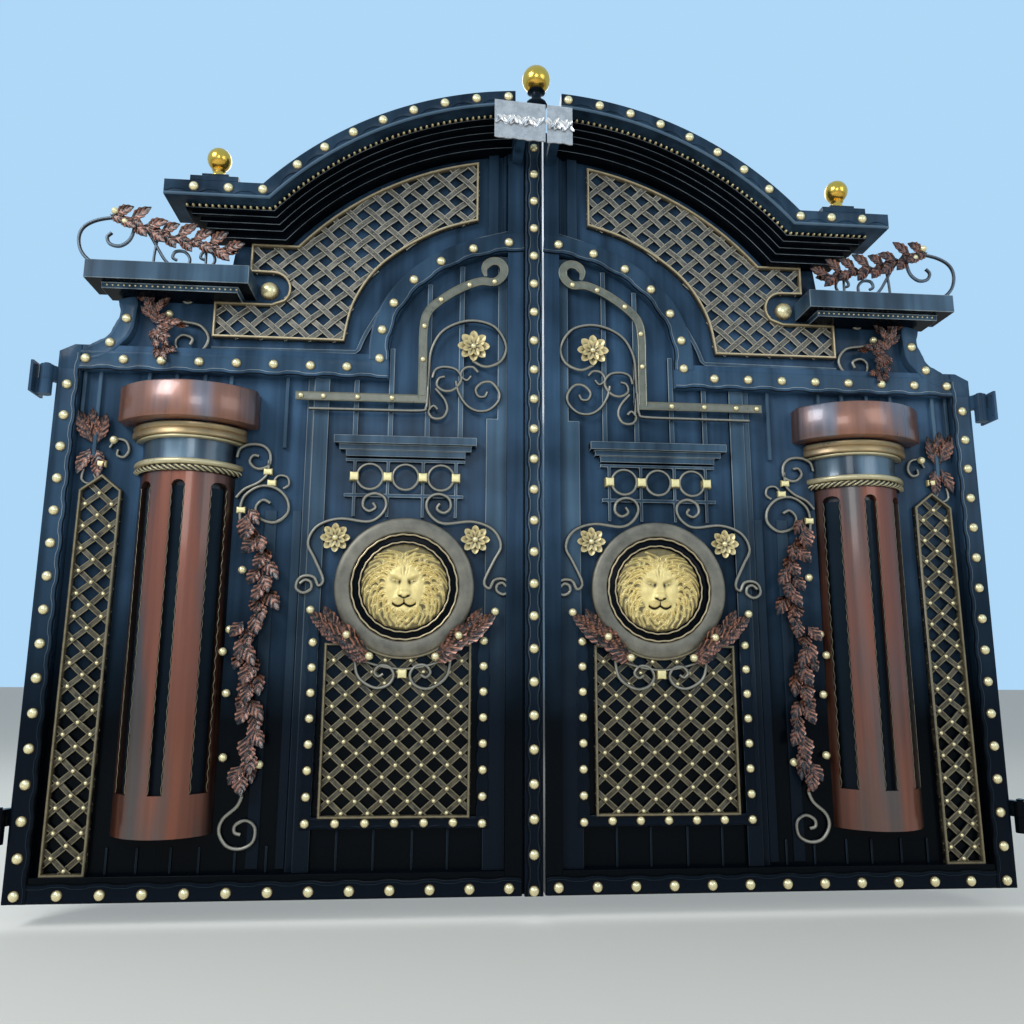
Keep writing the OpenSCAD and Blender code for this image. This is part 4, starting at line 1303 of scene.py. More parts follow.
@dataclass
class Column(Ornament):
    """Half-round column: slotted shaft, rope, torus, neck, collar and drum.

    half, out: half its width, and how far it stands out from the sheet.
    slots: middles of the slots, off the column's.
    slot_half, slot_depth, slot_z: half width, depth, and lowest and highest z of the slots.
    shaft_z: lowest and highest z of the shaft.
    """

    half: float = 177.0
    out: float = 115.0
    slots: tuple = (-134.0, 0.0, 134.0)
    slot_half: float = 25.0
    slot_depth: float = 22.0
    slot_z: tuple = (362.0, 1486.0)
    shaft_z: tuple = (218.0, 1519.0)

    @property
    def radius(self) -> float:
        """Radius of the shaft's face."""
        return (self.half ** 2 + self.out ** 2) / (2 * self.out)

    def slot_edges(self, middle: float, half: float) -> Array:
        """Places on the shaft's arc, from -1 to 1, of both sides of a slot."""
        reach = np.arcsin(self.half / self.radius)
        return np.arcsin((middle + np.array([-1, 1]) * half) / self.radius) / reach

    def section(self, half: Array, out: Array, z: Array, phi: Array, cheek: float = 0.0) -> Array:
        """Points of stacked circle segments whose chord lies on the panel or on straight cheeks.

        A segment of half width w that stands out by o has the radius (w^2 + o^2) / (2 o); phi from
        -1 to 1 runs over its arc.

        Args:
            half: half widths.
            out: how far each stands out.
            z: heights.
            phi: places on the arc.
            cheek: how far the chord stands off the panel.

        Returns:
            Heights by places by 3.
        """
        rise = out - cheek
        radius = (half ** 2 + rise ** 2) / (2 * rise)
        reach = np.arcsin(np.clip(half / radius, 0, 1))
        reach = np.where(rise > radius, np.pi - reach, reach)
        a = reach[:, None] * phi[None, :]
        u = self.sizes.column_u + radius[:, None] * np.sin(a)
        y = self.sizes.panel_y - out[:, None] + radius[:, None] * (1 - np.cos(a))
        return joined(u, y, z[:, None])

    def plain(self, z: list, phi: Array) -> Array:
        """Points of the shaft's own section at some heights."""
        return self.section(np.full(len(z), self.half), np.full(len(z), self.out), np.array(z), phi)

    def stack(self, steps: list, tone: float, finish: int, cheek: float = 0.0) -> Shell:
        """A turned stretch: rows of (half width, out, z) past the shaft's, on cheeks if given."""
        rows = np.asarray(steps, float) + (self.half, self.out, self.shaft_z[1])
        phi = np.linspace(-1, 1, 49)
        points = self.section(rows[:, 0], rows[:, 1], rows[:, 2], phi, cheek)
        shade = np.broadcast_to(tone - 0.5 * np.abs(phi) ** 2, points.shape[:2])
        if cheek:
            sides = points[:, [0, -1]] * (1, 0, 1) + (0, self.sizes.panel_y, 0)
            points = np.concatenate([sides[:, :1], points, sides[:, 1:]], 1)
            shade = np.concatenate([shade[:, :1], shade, shade[:, -1:]], 1)
        return loops_shell(points, shade, finish)

    def shaft(self) -> list:
        """The shaft with its three slots, whose heads are half round, and the slots' floors.

        Grid lines are doubled at the slots' edges, once outside and once inside; where both
        parameters are inside, the arc is drawn in by the slots' depth.
        """
        rows = [(-1.0, False, 0.0)]
        head = 22.0 * (1 - np.sqrt(1 - 0.98 * np.linspace(-1, 1, 9) ** 2))
        for middle in self.slots:
            edges = self.slot_edges(middle, self.slot_half)
            rows += [(place, False, 0.0) for place in np.linspace(rows[-1][0], edges[0], 7)[1:]]
            rows += [(place, True, drop) for place, drop in zip(np.linspace(*edges, 9), head)]
            rows.append((edges[1], False, 0.0))
        rows += [(place, False, 0.0) for place in np.linspace(rows[-1][0], 1, 7)[1:]]
        phi, in_phi, crown = (np.array(column) for column in zip(*rows))
        low, high = self.slot_z
        lines = [(self.shaft_z[0], False), (low, False)] + [(z, True) for z in np.linspace(low, high, 24)]
        lines += [(high, False), (self.shaft_z[1], False)]
        z, in_z = (np.array(column) for column in zip(*lines))
        points = self.plain(z, phi)
        sunk = in_z[:, None] & in_phi[None, :]
        a = np.arcsin(self.half / self.radius) * phi[None, :]
        points[..., 0] -= self.slot_depth * sunk * np.sin(a)
        points[..., 1] += self.slot_depth * sunk * np.cos(a)
        points[[-3, -2], :, 2] -= crown
        # painted highlight down the shaft's middle and painted shade towards its sides; sunk slot points are
        # dark
        tone = 0.72 - 0.66 * np.abs(phi[None, :]) ** 1.6 + 0 * z[:, None]
        shells = [loops_shell(points, np.where(sunk, 0.0, tone))]
        for middle in self.slots:
            arcs = np.linspace(*self.slot_edges(middle, self.slot_half - 0.6), 9)
            front = self.plain([low + 0.6, high - 20], arcs)
            a = np.arcsin(self.half / self.radius) * arcs
            front += (self.slot_depth - 1.2) * joined(-np.sin(a), np.cos(a), 0)
            shells.append(loops_shell(np.concatenate([front, front[:, ::-1] + (0, 3, 0)], 1), 0.5, 1))
        return shells

    def edging(self) -> list:
        """Twisted wire along both edges of each slot: a wave of 1.6 mm every 44 mm."""
        z = np.arange(self.slot_z[0] + 4, self.slot_z[1] - 24, 7.3)
        wires = []
        for middle in self.slots:
            for edge in (-1, 1):
                u = middle + edge * (self.slot_half - 2.4 + 1.6 * np.sin(z / 7.0))
                y = self.sizes.panel_y - self.out + self.radius - np.sqrt(self.radius ** 2 - u ** 2)
                path = joined(self.sizes.column_u + u, y + 2.2, z)
                wires.append(swept(path, ROD, size=0.3, tone=0.35 * ROD_TONE, finish=2))
        return wires

    def rope(self) -> Shell:
        """The twisted rope under the torus: a three-lobed section that turns along its arc."""
        phi = np.linspace(-0.995, 0.995, 260)
        z = np.array([self.shaft_z[1] + 11.0])
        line = self.section(np.array([self.half + 16]), np.array([self.out + 9]), z, phi)[0]
        a = wheel(16)[None, :]
        lobes = np.cos(3 * (a - 2 * np.pi * distances(line)[:, None] / 72))
        r = 8.6 + 2.6 * lobes
        section = joined(r * np.cos(a), r * np.sin(a))
        return swept(line, section, up=(0, 0, 1), tone=np.clip(0.45 + 0.9 * lobes, 0, 1), finish=2)

    def build(self, side: Side) -> None:
        """Builds the shaft and the capital of one leaf."""
        self.maker.piece("slotted_shaft", self.shaft() + self.edging(), side, [COLUMN, SLOT_PAINT, TORUS],
                         ("column_shaft",))
        a = np.radians(np.linspace(-90, 90, 9))
        out, up = np.cos(a), np.sin(a)
        ring = [(32, 20, 137), (36, 24, 141), (35, 23, 160), (31, 19, 166), (34, 22, 170), (34, 22, 182),
                (30, 18, 186)]
        drum = [(70, 60, 193), (76, 65, 195), (79, 68, 200), (79, 68, 326), (76, 65, 331), (70, 60, 333)]
        shells = [
            self.rope(),
            self.stack([(10, 6, 0), (10, 6, 26)], 0.0, 2),
            self.stack(joined(20 + 8 * out, 13 + 8 * out, 35 + 11 * up), 1.1, 2),
            self.stack([(0, 0, 45), (-4, -3, 86), (0, 0, 128)], 0.6, 4),
            self.stack(joined(22 + 4 * out, 15 + 4 * out, 131 + 5 * up), 1.0, 2),
            self.stack(ring, 1.0, 3, 20),
            self.stack([(22, 11, 185), (22, 11, 195)], 0.0, 1),
            self.stack(drum, 0.95, 0, 60),
        ]
        self.maker.piece("turned_capital", shells, side, [DRUM, SLOT_PAINT, TORUS, COLLAR_BRONZE, NECK],
                         ("capital",))


class Medallion(Ornament):
    """The broad ring, its bezel painted dark as shade, and the lion's face."""

    def ring(self) -> list:
        """The ring with a slightly crowned face, and the waved beads of the bezel."""
        m, y = self.sizes.medal, self.sizes.panel_y
        face = [(200, 0), (265, 0), (265, 22), (262, 29), (255, 33), (240, 35), (224, 35.6), (210, 34),
                (206, 30), (204, 20), (200, 18)]
        tone = [0, 0, 0.25, 0.8, 0.7, 0.55, 0.6, 0.7, 0.9, 0.1, 0]
        bezel = [(160, 0), (206, 0), (206, 24), (198, 28), (196, 20), (178, 22), (176, 16), (160, 16)]
        # the bezel between ring and face wears painted shade
        shells = [turned(m, face, y, 120, tone, 0, True), turned(m, bezel, y, 120, 0.3, 1, True)]
        for radius, height, thick in ((199, 30, 3.4), (171, 22, 3.0)):
            a = wheel(8)
            bead = joined(radius + thick * np.cos(a), height + thick * np.sin(a))
            shells.append(turned(m, bead, y, 140, 0.5 + 0.5 * np.sin(a), 2, True, (1.1, 26)))
        return shells

    def mane(self, r: Array, a: Array) -> Array:
        """Locks of the mane, as heights from 0 to 1 over the disc.

        Each lock is a ridge 1 - (d / w)^2 about a line that begins at radius start and angle a0,
        runs outwards for its length and bends sideways with the square of the way along it; d is
        the distance from the line, and the width w narrows towards the tip. Where locks
        overlap, the highest counts, and the rows nearer to the face lie on top.

        Args:
            r: radii, as shares of the disc.
            a: angles.

        Returns:
            The heights.
        """
        rng = np.random.default_rng(8)
        best = np.full(np.broadcast(r, a).shape, 0.34)
        for row, (start, length, width, count) in enumerate(((0.7, 0.34, 0.115, 30), (0.54, 0.38, 0.12, 25),
                                                             (0.4, 0.36, 0.11, 20))):
            for k in range(count):
                a0 = 2 * np.pi * (k + 0.5 * row + rng.uniform(-0.2, 0.2)) / count
                beard = max(0.0, -np.sin(a0))
                way_round = 1 if np.cos(a0) > 0 else -1
                bend = -way_round * rng.uniform(0.15, 0.6) * (1 - 0.6 * beard)
                t = (r - start - 0.05 * np.cos(2 * a0)) / (length * rng.uniform(0.85, 1.1))
                way = np.clip(t, 0, 1)
                swing = bend * way ** 2 + 0.08 * way_round * np.sin(6.0 * way)
                off = (a - a0 - swing + np.pi) % (2 * np.pi) - np.pi
                w = width * (0.3 + way) ** 0.4 * (1.03 - way) ** 0.45
                aside = off * np.clip(r, 0.2, 1) / np.maximum(w, 1e-3)
                ridge = np.clip(1 - aside ** 2, 0, 1) ** 0.7 * (0.82 + 0.18 * np.cos(aside * 9.5))
                ends = np.clip((t + 0.12) * 9, 0, 1) * np.clip((1.02 - t) * 7, 0, 1)
                best = np.maximum(best, ridge * ends * (0.72 + 0.14 * row))
        return best

    def face(self) -> Shell:
        """The lion's face as heights over a disc.

        x and z run from -1 to 1 over the disc. Brow, cheeks, bridge, muzzle and chin are smooth
        hills (Gaussians), eyes, nostrils and mouth are grooves, and the locks of the mane take
        over where the face ends.
        """
        radius = 166.0
        r = np.concatenate([[0.004], np.linspace(0.02, 1, 96)])[:, None]
        a = wheel(320)[None, :]
        x, z = r * np.cos(a), r * np.sin(a)

        def pair(height: float, u0: float, z0: float, wu: float, wz: float, tilt: float = 0.0) -> Array:
            """Gaussian hills on both sides of the middle, turned by tilt."""
            out = 0
            for s in (-1, 1):
                du, dz = s * x - u0, z - z0
                p, q = du * np.cos(tilt) + dz * np.sin(tilt), dz * np.cos(tilt) - du * np.sin(tilt)
                out = out + np.exp(-(p / wu) ** 2 - (q / wz) ** 2)
            return height * out

        def middle(height: float, z0: float, wu: float, wz: float, power: int = 2) -> Array:
            """One hill on the middle line; a power of 4 makes it flat-topped."""
            return height * np.exp(-(x / wu) ** power - ((z - z0) / wz) ** power)

        def within(wu: float, wz: float, z0: float) -> Array:
            """The square of the distance from an ellipse's middle, 1 on the ellipse."""
            return (x / wu) ** 2 + ((z - z0) / wz) ** 2

        height = 16 * np.sqrt(np.clip(1 - 0.7 * r ** 2, 0, 1))
        height = height + 10 / (1 + np.exp((within(0.47, 0.56, -0.02) - 1) * 6))
        # brow, forehead, cheeks, temples, bridge, muzzle, nose, chin, lids and pupils
        height += pair(6, 0.19, 0.30, 0.14, 0.07, 0.25) + pair(4, 0.10, 0.42, 0.10, 0.10)
        height += pair(6, 0.31, -0.06, 0.12, 0.16) + pair(3, 0.36, 0.14, 0.08, 0.08)
        height += middle(9, 0.02, 0.13, 0.27, 4)
        height += pair(9, 0.15, -0.30, 0.15, 0.12, -0.3) + middle(8, -0.19, 0.17, 0.10, 4)
        height += middle(6, -0.53, 0.16, 0.08) + pair(5, 0.22, 0.235, 0.14, 0.045, 0.42)
        height += pair(3, 0.21, 0.125, 0.035, 0.022, 0.3)
        # round the eyes, in their corners, beside the bridge, on the lip and between the brows
        lids = pair(1, 0.21, 0.125, 0.105, 0.05, 0.36) - pair(1.1, 0.21, 0.125, 0.062, 0.027, 0.36)
        grooves = 5.5 * np.clip(lids, 0, 1) + pair(4, 0.21, 0.118, 0.02, 0.02)
        grooves += pair(4, 0.11, 0.09, 0.03, 0.07, 0.3) + pair(1.6, 0.07, 0.33, 0.014, 0.09, -0.2)
        grooves += middle(6, -0.34, 0.014, 0.055) + middle(3, 0.40, 0.02, 0.10)
        grooves += pair(5, 0.085, -0.225, 0.035, 0.02)
        mouth = -0.385 - 0.065 * np.sin(np.pi * np.clip(np.abs(x) / 0.27, 0, 1))
        grooves += 9 * np.exp(-((z - mouth) / 0.024) ** 2) * (np.abs(x) < 0.27)
        nose = -0.265 + 0.5 * np.clip(np.abs(x) - 0.03, 0, 1)
        grooves += 6 * np.exp(-((z - nose) / 0.02) ** 2) * np.exp(-(x / 0.14) ** 6)
        for k in range(3):
            grooves += pair(1.5, 0.17 + 0.05 * k, -0.29 - 0.02 * k, 0.012, 0.012)
        locks = self.mane(r, a)
        bare = 1 / (1 + np.exp((np.sqrt(within(0.46, 0.54, -0.03)) - 1) * 26))
        height = height - grooves + (1 - bare) * (17 * locks - 5)
        height = np.clip(height * np.clip((1 - r) * 16, 0, 1) ** 0.5, 0.5, 60)
        tone = np.clip(bare * (1.0 - grooves / 5) + (1 - bare) * (2.7 * locks - 0.75), 0, 1)
        tone = np.where(r > 0.985, 0.5, tone)
        (u0, z0), y = self.sizes.medal, self.sizes.panel_y
        points = joined(u0 + radius * x, y - 10 - height, z0 + radius * z)
        foot = joined(u0 + radius * x[-1:], y - 2, z0 + radius * z[-1:])
        return loops_shell(np.concatenate([points, foot]), np.concatenate([tone, 0 * tone[:1]]))

    def build(self, side: Side) -> None:
        """Builds the ring and the face of one leaf."""
        self.maker.piece("broad_ring", self.ring(), side, [RING_GOLD, SHADE_PAINT, RIM_GOLD], ("medallion",))
        self.maker.piece("lion_face", [self.face()], side, [LION_GOLD], ("lion_mask",), sharp=70)


class Scrollwork(Ornament):
    """Forged scrolls, rings and collars, up to the stems over the shoulder.

    PANEL, COLUMN, SHOULDER: y of the bars' middles in each of these places.
    """

    PANEL = 17.0
    COLUMN = 34.0
    SHOULDER = 30.0

    def beside_medallion(self) -> list:
        """Two scrolls on each side of the medallion, and the chain between the lower ones.

        Their points are offsets from the medallion's middle line.
        """
        mu = self.sizes.medal[0]
        arm = [(390, 1112), (372, 1126), (352, 1118), (350, 1094), (376, 1080), (402, 1096), (396, 1128),
               (372, 1142), (340, 1136), (322, 1105), (304, 1130), (340, 1210), (366, 1262), (352, 1312),
               (314, 1345), (246, 1362), (150, 1352), (104, 1372), (78, 1412), (86, 1450), (122, 1466),
               (160, 1450), (168, 1414), (144, 1394), (118, 1408), (128, 1428)]
        curl = [(178, 836), (168, 780), (140, 748), (92, 728), (48, 742), (30, 776), (48, 808), (84, 812),
                (104, 788), (88, 770), (70, 780)]
        chain = [(-178, 842), (-90, 812), (0, 800), (90, 812), (178, 842)]
        return [rod([(mu + s * u, z) for u, z in points], self.PANEL, size=size)
                for s, points, size in ((-1, arm, 1.0), (-1, curl, 0.9), (1, arm, 1.0), (1, curl, 0.9),
                                        (1, chain, 0.7))]

    def round_rosette(self) -> list:
        """The scrolls that carry the top rosette."""
        hook = [(411, 1806), (420, 1900), (418, 1963), (409, 2058), (361, 2141), (263, 2184), (163, 2165),
                (112, 2086), (131, 2021), (192, 1993), (245, 2016)]
        return [rod(hook, self.PANEL, 6)] + [rod(points, self.PANEL, size=size) for size, points in (
            (0.8, [(222, 1969), (244, 1990), (278, 1984), (292, 1952), (268, 1932), (250, 1950)]),
            (0.9, [(403, 1939), (392, 1972), (358, 1985), (312, 1976), (290, 1940), (312, 1899),
                   (350, 1886), (384, 1906), (378, 1936), (356, 1944)]),
            (0.9, [(312, 1927), (300, 1880), (270, 1832), (228, 1807), (178, 1812), (140, 1850),
                   (138, 1890), (168, 1928), (206, 1926), (232, 1897), (222, 1868), (196, 1866),
                   (184, 1886)]),
            (0.9, [(392, 1893), (356, 1850), (344, 1810), (362, 1776), (399, 1774), (416, 1800),
                   (398, 1822), (382, 1808)]))]

    def beside_column(self) -> list:
        """The scrolls on both sides of the column."""
        return [rod(points, self.COLUMN, size=size) for size, points in (
            (1.0, [(1146, 1598), (1136, 1632), (1100, 1650), (1052, 1646), (1024, 1616), (1026, 1570),
                   (1066, 1556), (1096, 1580), (1086, 1606), (1064, 1604)]),
            (1.0, [(1140, 1440), (1110, 1474), (1060, 1500), (1028, 1536), (1024, 1590)]),
            (1.0, [(1119, 1350), (1122, 1400), (1106, 1450), (1052, 1486), (992, 1478), (950, 1436),
                   (946, 1384), (990, 1348), (1046, 1362), (1064, 1402), (1040, 1432), (1012, 1420)]),
            (0.8, [(1008, 1498), (986, 1528), (954, 1524), (946, 1496), (966, 1480)]),
            (1.0, [(1053, 347), (1070, 310), (1116, 268), (1126, 222), (1096, 176), (1046, 166),
                   (1004, 190), (1000, 240), (1034, 264), (1070, 248), (1072, 222), (1050, 214)]),
            (0.9, [(1622, 1624), (1600, 1656), (1566, 1650), (1552, 1616), (1568, 1590), (1592, 1596),
                   (1590, 1616)]),
            (0.8, [(1712, 1540), (1716, 1500), (1690, 1482), (1664, 1500), (1672, 1520)]))]

    def over_shoulder(self) -> list:
        """The two stems over the shoulder."""
        return [rod(points, self.SHOULDER, size=size) for size, points in (
            (0.9, [(1454, 2280), (1410, 2276), (1364, 2266), (1350, 2242), (1376, 2222), (1402, 2240),
                   (1394, 2256)]),
            (1.0, [(1440, 2152), (1387, 2140), (1322, 2127), (1287, 2080), (1303, 2031), (1352, 2008),
                   (1398, 2027), (1408, 2063), (1383, 2085), (1348, 2072), (1355, 2047)]))]

    def build(self, side: Side) -> None:
        """Builds the scrolls of one leaf."""
        shells = self.beside_medallion()
        for u in (362, 499, 636):
            loop = lifted(arc((u, 1531), (49, 49), 0, 352, 45), self.PANEL)
            shells.append(swept(loop, ROD, size=0.85, tone=ROD_TONE, ring=True))
        for u, z in ((304, 1531), (432, 1531), (568, 1531), (696, 1531), (self.sizes.medal[0], 782)):
            shells.append(self.collar((u, z), (34, 36)))
        shells += self.round_rosette() + self.beside_column()
        for place in ((1119, 1392), (1010, 1500), (1026, 1544), (1646, 1560)):
            shells.append(self.collar(place, (34, 26), 24))
        self.maker.piece("forged_scrolls", shells + self.over_shoulder(), side, [IRON, COLLAR_GOLD],
                         ("scrollwork",))

    def collar(self, place: tuple, size: tuple, front: float = 6.0) -> Shell:
        """A forged collar round two bars: a block with eased edges and a hollow across it."""
        w, h = size[0] / 2, size[1] / 2
        outline = np.array(place) + [(-w, -h), (-w, h), (-w / 3, h - 2), (w / 3, h - 2), (w, h), (w, -h),
                                     (w / 3, 2 - h), (-w / 3, 2 - h)]
        return relief(outline, [(0, 40), (0, front + 4), (2, front + 1), (4, front)], [0.2, 0.5, 0.9, 1], 1)


class ShelfScroll(Ornament):
    """The open scroll that stands on the shelf, with its garland of leaves."""

    def build(self, side: Side) -> None:
        """Builds the scroll and the garland of one leaf, as offsets from the shelf's outer end."""
        y = -34.0
        u0, z0 = self.sizes.half_width - 107, 2322.0
        shells = [rod([(u0 + u, z0 + z) for u, z in points], y, 6, size) for size, points in (
            (1.0, [(-120, 4), (-60, 8), (0, 22), (46, 62), (64, 118), (52, 168), (8, 200), (-60, 216),
                   (-120, 214), (-140, 176), (-128, 126), (-94, 98), (-56, 104), (-42, 132), (-58, 152)]),
            (0.9, [(-150, 208), (-196, 160), (-236, 96), (-270, 44), (-312, 12), (-352, 20), (-362, 56),
                   (-340, 84), (-306, 84), (-296, 60), (-312, 48)]),
            (0.85, [(-396, 6), (-436, 20), (-458, 52), (-446, 84), (-414, 88), (-402, 64), (-418, 54)]),
            (0.8, [(-70, 214), (-130, 205), (-235, 158), (-335, 124), (-418, 116), (-508, 84)]),
            (0.8, [(-223, -4), (-226, 70), (-232, 130)]),
            (0.8, [(-423, -4), (-423, 60), (-421, 114)]))]
        rng = np.random.default_rng(5)
        stem = smooth([(-62, 222), (-129, 200), (-230, 161), (-330, 136), (-418, 119), (-508, 88)], 6)
        for k, (u, z) in enumerate(resampled(stem, 21)):
            place = (u0 + u + 16, z0 + z + (4, 10, -2)[k % 3])
            lean = (198, 158, 222)[k % 3] + rng.uniform(-12, 12)
            shells.append(blade(place, lean, 82 + rng.uniform(-8, 14), 44, 12, 4, y - 4 - 5 * (k % 3), 1))
        shells += [ball((u0 + u, y - 8, z0 + z), 15, 2) for u, z in ((-66, 240), (-108, 196))]
        self.maker.piece("open_scroll", shells, side, [DARK_IRON, LEAF_COPPER, BRASS], ("shelf_scroll",))


class Leaves(Ornament):
    """Copper leaves: the vine beside the column, the garland under the medallion and the sprays."""

    def build(self, side: Side) -> None:
        """Builds the leaves of one leaf of the gate."""
        rng = np.random.default_rng(11)
        vine = smooth([(1100, 1370), (1075, 1310), (1030, 1220), (1026, 1130), (1020, 1040), (1060, 960),
                       (1085, 880), (1050, 800), (1040, 740), (1058, 680), (1026, 600), (1030, 520),
                       (1048, 440), (1060, 380), (1053, 347)], 6)
        shells = [swept(lifted(vine, 36), ROD, size=0.8, tone=0.3)]
        for k, (u, z) in enumerate(resampled(vine, 27)[:-2]):
            lean = (-112, -70, -96, -82)[k % 4] + rng.uniform(-18, 18)
            length = 82 + rng.uniform(-12, 16)
            place = (u + (-9, 9, 0, -4)[k % 4] + rng.uniform(-5, 5), z + 30)
            shells.append(blade(place, lean, length, 54 + rng.uniform(-8, 8), 24, 4, 32 - 9 * (k % 3)))
        mu, _ = self.sizes.medal
        for s in (-1, 1):
            for u, z, angle, length, width, y in (
                    (120, 856, 25, 150, 62, 0), (150, 872, 46, 150, 56, 4), (200, 890, 33, 150, 60, 0),
                    (235, 925, 60, 120, 52, 3), (262, 940, 38, 110, 50, -2), (105, 838, 8, 110, 46, 4)):
                turn = angle if s > 0 else 180 - angle
                shells.append(blade((mu + s * u, z), turn, length, width, 6, 5, y))
        # the spray in the shoulder: twigs from one point
        cu, cz = self.sizes.shoulder[0] - 285, self.sizes.shoulder[1] - 58
        for start, heading, count in ((72, 76, 6), (108, 104, 4), (196, 206, 2), (222, 240, 5), (250, 258, 5),
                                      (168, 172, 4)):
            for k in range(count):
                a = np.radians(heading + rng.uniform(-6, 6))
                reach = 8 + 23 * k
                turn = start + (24, -24, 0)[k % 3] + rng.uniform(-8, 8)
                place = (cu + reach * np.cos(a), cz + reach * np.sin(a))
                shells.append(blade(place, turn, 56 + rng.uniform(-4, 10), 27, 12, 4, 6.0 - 5 * (k % 3)))
        # the spray over the tall opening
        for u, z, angle, length, width in (
                (-60, 1640, 66, 140, 58), (-80, 1640, 104, 120, 54), (-66, 1660, 84, 120, 50),
                (-76, 1620, 250, 96, 48), (-56, 1622, 290, 110, 50), (-84, 1590, 262, 88, 44)):
            shells.append(blade((self.sizes.hinge_in + u, z), angle, length, width, 10, 5, 34))
        self.maker.piece("copper_leaves", shells, side, [LEAF_COPPER], ("leaves",), sharp=60)


def peg(place: tuple, back: float, front: float, radius: float, count: int = 8, tone: float = 0.2,
        finish: int = 0) -> Shell:
    """A round peg at (u, z) between two values of y."""
    high = back - front
    return turned(place, [(0.4, 0), (radius, 0), (radius, high), (0.4, high)], back, count, tone, finish)


class GoldBand(Ornament):
    """The flat aged-gold band that runs in, turns up and hooks over beside the meeting stile."""

    def build(self, side: Side) -> None:
        """Builds the band, the rod that runs under it, and its bolts."""
        half = [(-17, -2), (-17, 6), (-14.5, 8), (-12, 6)]
        section = np.array(half + [(-a, b) for a, b in half[::-1]])
        tone = np.array([0.1, 0.7, 1, 0.55, 0.55, 1, 0.7, 0.1])
        top = self.sizes.arch_z + 447
        level = lifted(np.array([(933, 1846), (700, 1846), (426, 1846)]), 8)
        rise = smooth([(443, 1846), (443, 2000), (443, 2140), (428, 2210), (380, 2262), (300, 2318),
                       (220, 2352), (160, top - 142), (126, top - 112), (122, top - 76), (146, top - 52),
                       (180, top - 56), (202, top - 84), (196, top - 118)], 6)
        ends = np.ones(len(rise))
        ends[-10:] = np.linspace(1, 0.35, 10)
        thin = lifted(smooth([(880, 1795), (640, 1796), (452, 1798), (426, 1812), (422, 1850),
                              (420, 1900)], 5), 8)
        bolts = np.array([(912, 1846), (826, 1846), (694, 1846), (560, 1846), (443, 2010), (440, 2150),
                          (376, 2266), (262, 2334), (160, top - 142)])
        shells = [swept(level, section, tone=tone), swept(lifted(rise, 7.6), section, size=ends, tone=tone),
                  swept(thin, ROD, size=0.9, tone=ROD_TONE, finish=2),
                  domes(lifted(bolts, 1.5), 11, 9, 1, 12)]
        shells += [peg((u, z), 28, 8, 6, finish=2) for u in (564, 700) for z in (1795, 1846)]
        self.maker.piece("hooked_band", shells, side, [BAND_GOLD, BRASS, IRON], ("gold_band",))


class Rosettes(Ornament):
    """Gold flowers, boss and berries."""

    def build(self, side: Side) -> None:
        """Builds two rings of petals on each flower, and every ball."""
        back = self.sizes.panel_y
        shells = []
        for (u, z), size in (((758, 1289), 1.0), ((226, 1290), 1.0), ((242, 2075), 1.18)):
            for length, width, y, turn in ((47, 31, 18, 0), (31, 21, 10, 22.5)):
                for angle in turn + 45.0 * np.arange(8):
                    foot = (u + 9 * np.cos(np.radians(angle)), z + 9 * np.sin(np.radians(angle)))
                    shells.append(petal(foot, angle, length * size, width * size, y))
            shells.append(domes([(u, 8, z)], 12, 12, 1))
            shells.append(peg((u, z), back, 10, 14, 16))
        shells.append(domes([(1063, 36, 2289)], 36, 26, 1, 28, 0.5))
        mu, mz = self.sizes.medal
        balls = [(mu + s * u, -6, mz - z) for s in (-1, 1) for u, z in ((344, 93), (122, 262), (208, 184))]
        balls += [(u, 20, z) for u, z in ((1098, 1162), (1130, 940), (1150, 859), (1128, 709), (1125, 482),
                                          (996, 457), (1606, 1652), (1440, 2168))]
        for u, y, z in balls:
            shells.append(ball((u, y, z), 15, 1))
            shells.append(peg((u, z), back + 1, y + 1, 4, tone=0.3))
        self.maker.piece("gold_flowers", shells, side, [PETAL_GOLD, BRASS], ("rosettes",), sharp=60)


class Plaque(Ornament):
    """The silver plaque at the crown, which parts at the meeting line."""

    def slope(self, u: Array) -> Array:
        """How far along the whole plaque a place lies, from 0 to 1; the plaque sinks with it."""
        return (u + 177) / 314

    def build(self, side: Side) -> None:
        """One part of the plaque: a plate with a wavy foot, a running stem on it, and its peg."""
        crown = self.sizes.crown
        front, back = -self.sizes.fascia - 6, -self.sizes.fascia
        u = np.linspace(*((-177, 28) if side is Side.LEFT else (34, 137)), 40)
        top = crown - 50 - 20 * self.slope(u)
        bottom = crown - 217 - 18 * self.slope(u) + 2.5 * np.sin(u / 9) * np.sin(u / 23)
        outline = np.concatenate([joined(u, bottom), joined(u, top)[::-1]]) * (side.value, 1)
        shells = [relief(outline, [(0, back), (0, front + 1.2), (1.2, front)], [0.3, 0.6, 0.45])]
        shells += self.ornament(side, front)
        shells.append(slab((50, 88), (crown - 210, crown - 170), 4, back, 0, 0.2, 1))
        self.maker.piece("silver_plaque", shells, side, [SILVER, PAINT], ("plaque",))

    def ornament(self, side: Side, front: float) -> list:
        """A running stem, which waves like a sine along the plate, with two plain leaves at each bend."""
        u = np.linspace(*((-166, 20) if side is Side.LEFT else (42, 130)), 90)
        wave = np.sin(2 * np.pi * u / 58)
        stem = joined(u * side.value, self.sizes.crown - 138 - 19 * self.slope(u) + 17 * wave)
        flat = 3.0 * np.array([(-1, -1), (-1, 0.6), (0, 1), (1, 0.6), (1, -1)])
        shells = [swept(lifted(stem, front - 0.4), flat, tone=1.3)]
        for k in range(7, 84, 7):
            up = 1 if wave[k] < 0 else -1
            shells += [petal(tuple(stem[k]), up * turn, 38, 15, front + 2) for turn in (52, 128)]
        return shells


